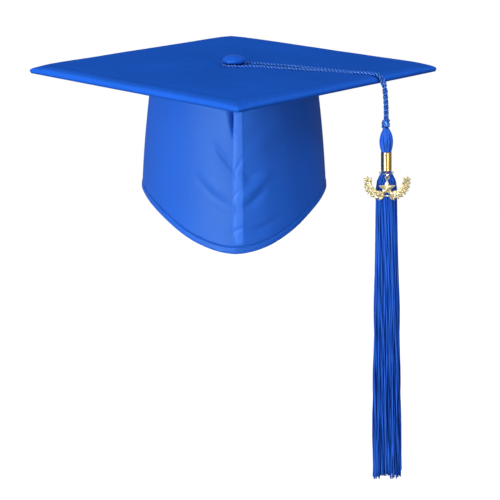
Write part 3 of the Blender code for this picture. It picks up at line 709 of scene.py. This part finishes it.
def crown_relief(degrees, height):
    """How far the cloth stands off the smooth surface: drape, creases at the seam and gathers behind."""
    base = crown_base(degrees, height)
    above = height - hem_height(degrees)
    turn = np.radians(degrees)
    aside = 180 - np.abs(np.abs(degrees) - 180)  # from the front, either way round
    drape = waves(0.115 * np.sin(turn), 0.5 * height - 0.115 * np.cos(turn), 31, 0.09, 2)
    relief = 0.45 * MM * drape * smoothstep(4, 22, aside)
    clear = smoothstep(6.0 * MM, 8.5 * MM, above) * (aside < 60)
    relief = relief + MM * clear * crease_relief(base[..., 0] / MM, height / MM)
    behind = smoothstep(ELASTIC_START - 6, ELASTIC_START + 12, aside)
    gather = 0.75 * np.sin(58 * turn + 1.6 * np.sin(17 * turn)) + 0.25 * np.sin(31 * turn + 2)
    pull = np.exp(-np.maximum(above - 0.006, 0) / 0.030)
    relief = relief + behind * pull * (1.3 * MM * gather - 1.6 * MM)
    return relief - 0.9 * MM * smoothstep(CROWN_TOP - 0.009, CROWN_TOP, height)


def crown_surface(degrees, height, inset):
    """Points of the crown with its folds, moved inwards by inset."""
    base = crown_base(degrees, height)
    step = 0.25
    ahead = crown_base(degrees + step, height) - crown_base(degrees - step, height)
    normal = stack(-ahead[..., 1], ahead[..., 0], 0.0)
    normal /= np.linalg.norm(normal, axis=-1)[..., None]
    normal *= np.sign(np.sum(normal[..., :2] * base[..., :2], -1))[..., None]
    return base + normal * (crown_relief(degrees, height) - inset)[..., None]


def crown_length(degrees):
    """Length along the hem from the front to each angle, for the cloth's coordinates."""
    fine = np.linspace(-200, 200, 2001)
    run = run_along(crown_base(fine, np.zeros(fine.shape)))
    return np.interp(degrees, fine, run) - np.interp(0, fine, run)


def crown_layer(name, degrees, rows, look, slot, stands_for, thickness):
    """A layer of the crown over some angles. Each row gives (height, inset) for an array of angles."""
    rings = [crown_surface(degrees, *row(degrees)) for row in rows]
    steps = [np.median(np.linalg.norm(b - a, axis=1)) for a, b in zip(rings, rings[1:])]
    run = np.concatenate([[0], np.cumsum(steps)])
    uv = stack(crown_length(degrees)[None, :], run[:, None])
    obj = mesh_object(name, np.array(rings), grid_faces(len(rings), len(degrees)), uv)
    thicken(obj, thickness)
    return piece(obj, "cap", look, slot, stands_for)


def panel_rows():
    """The rows of a panel: down the turned hem inside, round the edge, and up the outside to the board."""
    rows = []

    def inner_inset(degrees):
        return (1.7 + 1.1 * smoothstep(ELASTIC_START - 9, ELASTIC_START - 1, np.abs(degrees))) * MM

    for above in np.linspace(HEM_TURN, 1.4 * MM, 12):
        rows.append(lambda d, a=above: (hem_height(d) + a, inner_inset(d)))
    for angle in arc(-90, 90, 9)[1:-1]:
        up, across = 0.9 * MM * (1 - math.cos(angle)), (1 - math.sin(angle)) / 2
        rows.append(lambda d, u=up, a=across: (hem_height(d) + u, inner_inset(d) * a - 0.25 * MM))
    for above in (0.9, 1.6, 2.4, 3.2, 3.9, 4.5, 4.9, 5.2, 5.45, 5.7, 5.95, 6.2, 6.6, HEM_TOP):
        ditch = 0.85 * math.exp(-(((above - HEM_BAND) / 0.42) ** 2))
        proud = 0.42 * (1 - smoothstep(5.0, 5.8, above)) * math.sin(min(above / 1.6, 1) * math.pi / 2)
        rows.append(lambda d, a=above, o=ditch - proud: (hem_height(d) + a * MM, o * MM))
    return rows + rows_between(HEM_TOP * MM, 0.0, 0.0, 100)[1:]


def rows_between(above_hem, below_board, inset, count):
    """Even rows from a line above the hem to one below the board."""
    def row(degrees, share):
        low = hem_height(degrees) + above_hem
        return low + (CROWN_TOP - below_board - low) * share, inset

    return [lambda d, s=share: row(d, s) for share in np.linspace(0, 1, count)]


def one_side(angles, side):
    return angles if side == "right" else -angles[::-1]


def make_crown():
    # closest together at the creases in front and the gathers behind
    front, middle, back = np.linspace(0, 36, 110), np.linspace(36, 122, 62), np.linspace(122, 180, 110)
    half = np.concatenate([front, middle[1:], back[1:]])
    even = np.linspace(0, 180, 200)
    rows = panel_rows()
    lining_rows = rows_between(HEM_TURN - 2 * MM, 0.0, 2.9 * MM, 40)
    for side, casing in (("right", ["elastic_casing"]), ("left", [])):
        stands_for = [f"crown_panel_{side}", f"hem_facing_{side}", *casing]
        panel = crown_layer(
            f"satin_panel_{side}", one_side(half, side), rows, "crown", "crown_satin", stands_for, CLOTH
        )
    for side in ("right", "left"):
        lining = crown_layer(
            f"lining_{side}", one_side(even, side), lining_rows, "lining", "lining_cloth",
            [f"crown_lining_{side}"], 0.3 * MM,
        )
    felt_rows = rows_between(HEM_TURN + 1 * MM, 2 * MM, 1.4 * MM, 30)
    felt = crown_layer(
        "front_interfacing", np.linspace(-54, 54, 140), felt_rows, "felt", "stiffener_felt",
        ["front_stiffener"], 0.7 * MM,
    )
    elastic_rows = [lambda d, a=a: (hem_height(d) + a, 1.2 * MM) for a in np.linspace(1.6, 10.6, 6) * MM]
    behind = half[half > ELASTIC_START + 2]
    crown_layer(
        "elastic_band", np.concatenate([behind, 360 - behind[-2::-1]]), elastic_rows, "elastic",
        "elastic_webbing", ["back_elastic"], 0.8 * MM,
    )
    binding_rows = [
        lambda d, s=s: (CROWN_TOP - 9 * MM + 9 * MM * s, (3.6 - 0.25 * math.sin(math.pi * s)) * MM)
        for s in np.linspace(0, 1, 8)
    ]
    crown_layer(
        "inner_binding", np.linspace(-180, 180, 260), binding_rows, "lining", "lining_cloth",
        ["crown_binding"], 0.5 * MM,
    )


# how far the strip stands off the panels, in millimetres, from its left edge (-1) to its right (1)
STRIP_PROFILE = (
    (-1, -0.1), (-0.97, 0.3), (-0.93, 0.42), (-0.88, 0.42), (-0.82, 0.28), (-0.74, 0.22), (-0.5, 0.30),
    (0, 0.48), (0.4, 0.62), (0.58, 0.62), (0.70, 0.50), (0.80, 0.30), (0.90, 0.08), (0.96, -0.04), (1, -0.12),
)


def make_seam_band():
    """The raised strip down the front seam, pressed over to the right. The creases run on across it."""
    shares = np.linspace(-1, 1, 75)
    heights = np.linspace(0, 1, 150)
    centre, half = 2.2 * MM, 5.1 * MM
    angles = np.degrees(np.arcsin((centre + shares * half) / CROWN_WIDE[1]))
    d, s = np.meshgrid(angles, heights)
    low = hem_height(d) + 6.0 * MM
    z = low + (CROWN_TOP - low) * s
    across = np.broadcast_to(shares, z.shape)
    stand = np.interp(across, *zip(*STRIP_PROFILE)) + 0.14 * waves(across * 0.004, z, 41, 0.022, 2)
    # tucked under the hem at its lower end
    stand = stand * smoothstep(0, 3.5 * MM, z - low) - 0.15
    surface = crown_surface(d, z, 0.0)
    points = surface + (crown_surface(d, z, -1.0 * MM) - surface) * stand[..., None]
    obj = mesh_object("front_seam_strip", points, grid_faces(*z.shape), stack(across * half, z))
    thicken(obj, 0.4 * MM)
    piece(obj, "cap", "strip", "crown_satin", ["front_seam_band"])


def make_stitches():
    """Topstitching: a row of short stitches round the hem."""
    paths = []
    run = crown_length(np.array([-180.0, 180.0]))
    pitch = 2.6 * MM
    fine = np.linspace(-180, 180, 4001)
    lengths = crown_length(fine)
    for start in np.arange(run[0] + pitch, run[1] - pitch, pitch):
        span = np.interp(start + np.linspace(0, 0.72, 5) * pitch, lengths, fine)
        if abs(span.mean()) < 4.2:  # the seam strip's foot lies here
            continue
        sink = np.array([0.55, 0.28, 0.2, 0.28, 0.55]) * MM
        paths.append(crown_surface(span, hem_height(span) + HEM_BAND * MM, sink))
    obj = rope_mesh("hem_stitching", paths, 0.17 * MM, 5)
    piece(obj, "cap", "thread", "hem_satin")


# ---------------------------------------------------------------- button

def make_button():
    low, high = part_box("button_cover")
    radius = (high.x - low.x) / 2
    widest = low.z + 1.6 * MM
    rise, fall = high.z - widest, widest - low.z
    dome = [(radius * math.cos(a) ** 0.92, widest + rise * math.sin(a)) for a in arc(89.2, 0, 22)]
    side = [(radius - 2.2 * MM * (1 - math.cos(a)), widest - fall * math.sin(a)) for a in arc(12, 90, 8)]
    turn = full_turn(96)
    rings, uvs = [], []
    for index, (r, z) in enumerate(dome + side):
        pleat = 0.10 * MM * np.sin(turn * 22 + np.sin(turn * 5)) * smoothstep(18, 28, index)
        wave = 0.06 * MM * np.sin(3 * turn + 1) * (r / radius)
        rings.append(stack((r + pleat) * np.cos(turn), (r + pleat) * np.sin(turn), z + wave))
        uvs.append(stack(r * np.cos(turn), r * np.sin(turn)))
    obj = ring_object("satin_button", rings, uvs)
    close_hole(obj, (low.z + high.z) / 2)
    thicken(obj, 0.4 * MM)
    piece(obj, "cap", "button", "button_satin", ["button_cover"])


def close_hole(obj, above):
    """Fills the ring of a turned piece that is left open above a height."""
    work = bmesh.new()
    work.from_mesh(obj.data)
    ring = [edge for edge in work.edges if edge.is_boundary and edge.verts[0].co.z > above]
    bmesh.ops.holes_fill(work, edges=ring, sides=len(ring))
    work.to_mesh(obj.data)
    work.free()


# ---------------------------------------------------------------- tassel

def on_board(along, across):
    """A point of a cord's middle line where it lies on the board."""
    radius = math.hypot(along, across)
    height = BOARD_TOP - float(dimple(radius)) + 0.1 * MM + CORD_DIAMETER / 2
    return OUTWARD * along + SIDEWAYS * across + UP * height


def over_edge(out, up):
    """A point above the tassel's line on the board, out from the board's edge and up from its top."""
    return OUTWARD * (EDGE_RADIUS + out) + UP * (BOARD_TOP + up)


def hang(points):
    """Points measured from the top of the knot, along the leaning tassel, as points of the scene."""
    outward, up = points @ OUTWARD, points[..., 2]
    turned = (outward * math.cos(LEAN) + up * -math.sin(LEAN))[..., None] * OUTWARD
    turned = turned + (up * math.cos(LEAN) + outward * math.sin(LEAN))[..., None] * UP
    return KNOT_PLACE + turned + (points @ SIDEWAYS)[..., None] * SIDEWAYS


def strand_route(side):
    """One strand from the button's side to the knot, and the way to its partner where they are twisted."""
    lying = [(7, 9.0), (15, 7.9), (26, 6.6), (58, 5.2), (78, 3.3), (97, 1.6), (112, 1.35)]
    route = [on_board(along * MM, side * across * MM) for along, across in lying]
    falling = [
        (-9.0, 1.3), (-5.6, 1.3), (-3.0, 1.25), (-1.0, 0.9), (0.8, 0.0), (2.2, -1.6), (3.5, -4.0),
        (4.6, -7.0), (5.6, -12.0), (6.2, -17.5), (6.7, -23.0), (7.0, -28.5), (7.2, -34.5), (7.2, -36.0),
    ]
    line = smooth_path([over_edge(out * MM, up * MM) for out, up in falling], 110)
    run = run_along(line)
    over = np.cross(SIDEWAYS, headings(line))
    # the pair lies side by side over the edge, turns slowly below it, and is then tightly twisted
    twist = np.clip((run - 0.012) / 0.016, 0, 1)
    rate = 2 * math.pi / (8.2 * MM) * (0.12 * smoothstep(0.006, 0.012, run) + 0.88 * twist)
    turn = np.concatenate([[0], np.cumsum(rate[1:] * np.diff(run))])
    partner = SIDEWAYS * np.cos(turn)[:, None] - over * np.sin(turn)[:, None]
    spread = CORD_DIAMETER * (0.54 - 0.11 * twist)
    twisted = line + side * partner * spread[:, None]
    flat = 0.25 * smoothstep(0.0, 1.0, twist)
    return np.array(route), twisted, partner, flat


def make_cord():
    """The whole cord, doubled: from the knot over the edge, round the button and back to the knot."""
    lying, twisted, partner, flat = strand_route(1)
    other_lying, other_twisted, _, _ = strand_route(-1)
    loop = [on_board(LOOP_RADIUS * math.cos(a), LOOP_RADIUS * math.sin(a)) for a in arc(90, 270, 7)]
    middle = smooth_path(np.vstack([twisted[:1], lying[::-1], loop, other_lying, other_twisted[:1]]), 560)
    # the ends of this smooth stretch are the first points of the twisted ones
    path = np.vstack([twisted[::-1], middle[1:-1], other_twisted])
    partners = np.vstack([partner[::-1], np.tile(SIDEWAYS, (len(middle) - 2, 1)), partner])
    flats = np.concatenate([flat[::-1], np.zeros(len(middle) - 2), flat])
    obj = rope_mesh(
        "tassel_cord", [path], CORD_DIAMETER / 2, 20, lobes=2, pitch=CORD_PITCH, depth=0.30,
        press=(partners, flats),
    )
    piece(obj, None, "cord", "cord_rayon", ["cord_top", "cord_drop"])
    round(float(run_along(path)[-1]), 3)
    start, end = over_edge(-4 * MM, 1.3 * MM), over_edge(6 * MM, -12 * MM)
    tuple(start)
    tuple(end)
    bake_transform(obj)


def make_knot():
    """The knot that gathers the pair: wraps of cord, drawn tight and a little askew."""
    height = KNOT_HIGH.z - KNOT_LOW.z
    turns, reach = 2.6, 2.35 * MM
    t = np.linspace(0, 1, 220)
    angle = 2 * math.pi * turns * t + 2.2
    wide = reach * smoothstep(0, 0.10, t) * smoothstep(1, 0.90, t)
    drop = 1.2 * MM + (height - 2.2 * MM) * smoothstep(0.02, 0.98, t)
    tilt = 0.75 * MM * np.cos(angle - 0.7)
    wrap = stack(wide * np.cos(angle) - 0.35 * MM, wide * np.sin(angle), -drop + tilt * wide / reach)
    s = np.linspace(0, 1, 60)
    bow = -2.9 - 0.55 * np.sin(math.pi * s) + 2.4 * (2 * np.abs(s - 0.5)) ** 3
    crossing = stack(-2.0 + 4.0 * s, bow, -1.6 - 4.4 * s) * MM
    paths = [hang(wrap), hang(crossing)]
    obj = rope_mesh("knot", paths, 1.12 * MM, 16, lobes=2, pitch=CORD_PITCH, depth=0.28)
    piece(obj, "tassel", "cord", "cord_rayon", ["cord_knot"])


# Depths on the leaning tassel, from the top of the knot
HEAD_DEPTH = (7.7 * MM, 26.7 * MM)
BAND_DEPTH = (27.0 * MM, 42.8 * MM)
SKIRT_DEPTH = (43.1 * MM, 314.5 * MM)
HEAD_RADIUS, BAND_RADIUS = 5.6 * MM, 4.35 * MM


def head_radius(share):
    places = [0, 0.02, 0.15, 0.32, 0.52, 0.72, 0.88, 1]
    widths = [0.20, 0.34, 0.60, 0.86, 1.0, 0.97, 0.84, 0.70]
    return np.interp(share, places, widths)


def turned_object(name, profile, depths, count):
    """A closed tube round the leaning tassel's axis, from the radii and the depths of its rings."""
    turn = full_turn(count)
    radius = profile[:, None]
    rings = stack(radius * np.cos(turn), radius * np.sin(turn), -depths[:, None])
    return ring_object(name, hang(rings), inside_out=True)


def make_head():
    """The tassel's head: yarns laid over a bulb, from the knot down into the gold band."""
    top, under = HEAD_DEPTH
    share = np.linspace(0, 1, 40)
    smooth = np.convolve(np.pad(head_radius(share), 3, "edge"), np.ones(7) / 7, "valid")
    draw = np.random.default_rng(5)
    paths = []
    count = 46
    for i in range(count):
        turn = 2 * math.pi * (i + draw.uniform(-0.3, 0.3)) / count + draw.uniform(0.15, 0.45) * share
        radius = HEAD_RADIUS * smooth - 0.42 * MM + draw.uniform(-0.14, 0.10) * MM
        depth = top - 0.9 * MM + (under - top + 1.5 * MM) * share
        paths.append(hang(stack(radius * np.cos(turn), radius * np.sin(turn), -depth)))
    obj = rope_mesh("head_yarns", paths, 0.44 * MM, 6)
    core_share = np.linspace(0, 1, 24)
    profile = HEAD_RADIUS * np.interp(core_share, share, smooth) - 0.7 * MM
    core = turned_object("head_core", profile, top + (under - top) * core_share, 32)
    piece(obj, "tassel", "yarn", "tassel_thread", ["tassel_head"])
    piece(core, "tassel", "yarn", "tassel_thread")


def make_band():
    """The gold ferrule, with fine ribs round it and rolled ends."""
    top, under = BAND_DEPTH
    ribs = 13
    share = np.linspace(0, 1, 12 * ribs)
    rib = 0.10 * MM * np.abs(np.sin(math.pi * ribs * share)) ** 0.7
    roll = 0.35 * MM * (np.exp(-share * 60) + np.exp(-(1 - share) * 60))
    outer = BAND_RADIUS - 0.10 * MM + rib - 0.5 * roll
    inner = np.full(outer.shape, BAND_RADIUS - 0.42 * MM)
    profile = np.concatenate([outer, inner, outer[:1]])
    depths = np.concatenate([top + (under - top) * share, under - (under - top) * share, [top]])
    obj = turned_object("gold_ferrule", profile, depths, 72)
    weld(obj)
    piece(obj, "tassel", "band", "band_gold", ["tassel_band"])


def skirt_half(depth):
    """Half width of the skirt at a depth below its top."""
    places = np.array([-2, 0, 3.5, 8, 14, 70, 170, 250, 276]) * MM
    widths = np.array([3.3, 3.6, 5.6, 7.8, 8.7, 9.7, 11.2, 12.1, 12.5]) * MM
    return np.interp(depth, places, widths)


def make_skirt():
    """The skirt: layers of twisted yarns, with uneven ends."""
    draw = np.random.default_rng(8)
    top, under = SKIRT_DEPTH
    length = under - top
    paths = []
    for count, share in ((52, 1.0), (40, 0.80), (24, 0.52), (8, 0.2)):  # yarns in a layer, and its reach
        for i in range(count):
            turn = 2 * math.pi * (i + draw.uniform(-0.3, 0.3)) / count
            clump = 1.8 * math.sin(3 * turn + 0.6) + 1.3 * math.sin(7 * turn)
            end = length - (3.6 + clump + draw.uniform(-1.4, 2.0)) * MM
            neck, rest = np.linspace(-1.2 * MM, 16 * MM, 12)[:-1], np.linspace(16 * MM, end, 54)
            depth = np.concatenate([neck, rest])
            wide = (skirt_half(depth) - 0.66 * MM) * share
            sway = draw.uniform(0, 2 * math.pi, 4)
            amount = smoothstep(0.02, 0.16, depth) * 0.6 * MM
            bend = amount * (np.sin(depth / 0.034 + sway[0]) + 0.6 * np.sin(depth / 0.015 + sway[1]))
            drift = amount * (np.sin(depth / 0.041 + sway[2]) + 0.5 * np.sin(depth / 0.018 + sway[3]))
            x, y = wide * math.cos(turn) + bend, wide * math.sin(turn) * SKIRT_FLAT + drift
            paths.append(hang(stack(x, y, -depth - top)))
    obj = rope_mesh("skirt_yarns", paths, 0.62 * MM, 7, lobes=2, pitch=5 * MM, depth=0.16)
    piece(obj, "tassel", "yarn", "tassel_thread", ["tassel_skirt", "tassel_neck"])


# ---------------------------------------------------------------- charm and CAD nodes

STAR_RADIUS, STAR_INNER = 7.4 * MM, 3.3 * MM
SPRAY_DROP = 8.0 * MM
EYELET = CHARM_PLACE + np.array([0, -0.95, -2.65]) * MM
STAR_MIDDLE = EYELET - UP * (STAR_RADIUS + 1.5 * MM)
FACING = np.array([0, -1.0, 0])


def stem_point(share):
    """The middle line of one laurel spray, from under the star up to the charm's side, as (across, up)."""
    across = 15.6 * MM * np.sin(np.radians(88 * share)) ** 0.9
    return across, 1.6 * MM + 12.5 * MM * share**2.1


def leaf_points(foot, way, length, width, thick):
    """A pointed leaf with a ridge down its middle, as a grid of points that goes round it."""
    side = np.cross(way, FACING)
    u = np.linspace(0, 1, 11)[:, None]
    v = full_turn(12)[None, :]
    wide = width / 2 * (np.sin(math.pi * u**0.85) + 0.02)
    lift = thick / 2 * (np.sin(math.pi * u) ** 0.6 + 0.05)
    ridge = np.sign(np.sin(v)) * (1 - np.abs(np.cos(v))) ** 0.8
    return (
        foot + way * (u * length)[..., None] + side * (wide * np.cos(v))[..., None]
        + FACING * (lift * ridge)[..., None]
    )


def on_spray(sign, share):
    """A point of one spray's stem: sign is 1 for the spray towards +X."""
    across, up = stem_point(share)
    return STAR_MIDDLE + stack(sign * across, 0.0, up - SPRAY_DROP)


def slanted(sign, angle):
    return np.array([sign * math.cos(angle), 0, math.sin(angle)])


def make_star():
    """A faceted five-pointed star: its outline in front and behind, and a raised middle on each side."""
    angle = np.radians(90 + 36 * np.arange(10))
    reach = np.where(np.arange(10) % 2, STAR_INNER, STAR_RADIUS)
    outline = stack(reach * np.cos(angle), 0.0, reach * np.sin(angle))
    rim, middle = FACING * 0.35 * MM, FACING[None] * 1.5 * MM
    faces = []
    for i in range(10):
        k = (i + 1) % 10
        faces += [[i, 20, k], [10 + k, 21, 10 + i], [k, 10 + k, 10 + i, i]]
    points = np.concatenate([outline + rim, outline - rim, middle, -middle])
    star = mesh_object("charm_star", STAR_MIDDLE + points, faces)
    star.data.shade_flat()
    bevel = star.modifiers.new("soft_edges", "BEVEL")
    bevel.width = 0.12 * MM
    bevel.segments = 2
    piece(star, "charm", "charm", "charm_gold")


def make_charm():
    """A generic charm: a faceted star between two laurel sprays."""
    leaves = []
    for sign in (1, -1):
        for share in 0.07 + 0.89 * np.arange(8) / 7:
            (x, z), (nx, nz) = stem_point(share), stem_point(share + 0.03)
            run = math.atan2(nz - z, nx - x)
            for turn in (42, -42):
                way = slanted(sign, run + math.radians(turn))
                leaves.append((on_spray(sign, share), way, (6.4 - 1.4 * share) * MM))
        leaves.append((on_spray(sign, 1.0), slanted(sign, math.radians(75)), 4.6 * MM))
    grids = [leaf_points(foot, way, length, 2.6 * MM, 1.3 * MM) for foot, way, length in leaves]
    rows, count = grids[0].shape[:2]
    faces = [grid_faces(rows, count, True) + index * rows * count for index in range(len(grids))]
    sprays = mesh_object("charm_leaves", np.concatenate(grids), np.concatenate(faces))
    piece(sprays, "charm", "charm", "charm_gold", ["charm_plate"])
    stems = [on_spray(sign, np.linspace(0, 1, 40)) for sign in (1, -1)]
    turn = np.linspace(0, 2 * math.pi, 40)
    eyelet = EYELET + 1.4 * MM * stack(np.cos(turn), 0.0, np.sin(turn))
    wires = rope_mesh("charm_stems", [*stems, eyelet], 0.52 * MM, 10)
    piece(wires, "charm", "charm", "charm_gold")
    make_star()


def dress_cad_nodes():
    """Materials for the CAD nodes whose shape is right as it is, and rounder wires."""
    looks = {"board_core": ("card", "card")}
    for node in ("button_shell", "button_back", "button_shank", "retaining_washer"):
        looks[node] = ("steel", "button_steel")
    for node in ("charm_ring", "charm_bail"):
        looks[node] = ("ring", "ring_gold")
    for node, (look, slot) in looks.items():
        obj = frame["nodes"][node]
        piece(obj, None, look, slot)
        if look == "ring":
            smooth = obj.modifiers.new("round_wire", "SUBSURF")
            smooth.levels = smooth.render_levels = 2


# ---------------------------------------------------------------- studio

def bearing_line(degrees):
    """The level unit vector at a bearing from the cap's front, to the right when positive."""
    return np.array([math.sin(math.radians(degrees)), -math.cos(math.radians(degrees)), 0])


def add_object(name, data, place=(0, 0, 0), aim=None):
    obj = bpy.data.objects.new(name, data)
    obj.location = place
    if aim is not None:
        obj.rotation_euler = (Vector(aim) - Vector(place)).to_track_quat("-Z", "Y").to_euler()
    bpy.context.scene.collection.objects.link(obj)
    return obj


def add_light(name, place, aim, size, power, colour=(1, 1, 1), spread=180):
    """A rectangular lamp. size is one number, or its width and its height."""
    lamp = bpy.data.lights.new(name, "AREA")
    lamp.shape = "RECTANGLE"
    lamp.size, lamp.size_y = size if isinstance(size, tuple) else (size, size)
    lamp.energy = power
    lamp.color = colour
    lamp.spread = math.radians(spread)
    return add_object(name, lamp, place, aim)


def make_camera():
    data = bpy.data.cameras.new("camera")
    data.lens = VIEW_LENS
    data.sensor_width = 36
    back = bearing_line(VIEW_AZIMUTH) * math.cos(VIEW_ELEVATION) + UP * math.sin(VIEW_ELEVATION)
    across, height = VIEW_AIM
    aim = np.cross(UP, bearing_line(VIEW_AZIMUTH)) * across + UP * height
    bpy.context.scene.camera = add_object("camera", data, aim + back * VIEW_DISTANCE, aim)


def make_world():
    """White where the camera looks past the object, and for light a room that is brighter in front."""
    world = bpy.data.worlds.new("world")
    bpy.context.scene.world = world
    world.use_nodes = True
    nodes, links = world.node_tree.nodes, world.node_tree.links
    room = nodes["Background"]
    room.inputs["Color"].default_value = (*ROOM_COLOUR, 1)
    toward = nodes.new("ShaderNodeVectorMath")
    toward.operation = "DOT_PRODUCT"
    toward.inputs[1].default_value = bearing_line(ROOM_BEARING)
    links.new(nodes.new("ShaderNodeTexCoord").outputs["Generated"], toward.inputs[0])
    fall = nodes.new("ShaderNodeMapRange")
    limits = ("From Min", "From Max", "To Min", "To Max")
    for key, value in zip(limits, (*ROOM_FALL, ROOM_BACK, ROOM_FRONT)):
        fall.inputs[key].default_value = value
    links.new(toward.outputs["Value"], fall.inputs["Value"])
    links.new(fall.outputs["Result"], room.inputs["Strength"])
    backdrop = nodes.new("ShaderNodeBackground")
    backdrop.inputs["Color"].default_value = (1, 1, 1, 1)
    choose = nodes.new("ShaderNodeMixShader")
    links.new(nodes.new("ShaderNodeLightPath").outputs["Is Camera Ray"], choose.inputs[0])
    links.new(room.outputs[0], choose.inputs[1])
    links.new(backdrop.outputs[0], choose.inputs[2])
    links.new(choose.outputs[0], nodes["World Output"].inputs["Surface"])


def make_floor():
    ground = np.array([[-9, -9, 0], [9, -9, 0], [9, 9, 0], [-9, 9, 0]], float)
    floor = mesh_object("floor", ground, [[0, 1, 2, 3]])
    floor.location.z = FLOOR_HEIGHT
    floor.visible_diffuse = False
    floor.visible_glossy = False
    pale = Nodes("pale_floor")
    pale.set(Base_Color=(0.98, 0.98, 0.98, 1), Roughness=1.0, Specular_IOR_Level=0.0)
    floor.data.materials.append(pale.material)


def make_studio():
    bpy.context.scene.view_settings.view_transform = "Standard"
    make_camera()
    make_world()
    make_floor()
    sky = bpy.data.lights.new("overhead", "SUN")
    sky.energy = OVERHEAD
    sky.angle = math.radians(OVERHEAD_WIDE)
    overhead = add_object("overhead", sky)
    overhead.rotation_euler = (math.radians(OVERHEAD_TILT), 0, math.radians(OVERHEAD_BEARING))
    overhead.visible_glossy = False
    place = bearing_line(KEY_BEARING) * LAMP_DISTANCE + UP * LAMP_HEIGHT
    key = add_light("key", place, KEY_AIM, KEY_SIZE, KEY_POWER, spread=KEY_SPREAD)
    key.visible_glossy = False
    # the satin's shine comes from a narrow beam that misses the tassel, and the metal's streak from a strip
    place = bearing_line(BEAM_BEARING) * LAMP_DISTANCE + UP * LAMP_HEIGHT
    beam = add_light("beam", place, BEAM_AIM, BEAM_SIZE, BEAM_POWER, BEAM_COLOUR, BEAM_SPREAD)
    beam.visible_diffuse = False
    add_light("strip", STRIP_PLACE, STRIP_AIM, STRIP_SIZE, STRIP_POWER)


make_studio()
make_cord()
make_top_cover()
make_under_cover()
make_wadding()
make_crown()
make_seam_band()
make_stitches()
make_button()
make_knot()
make_head()
make_band()
make_skirt()
make_charm()
dress_cad_nodes()
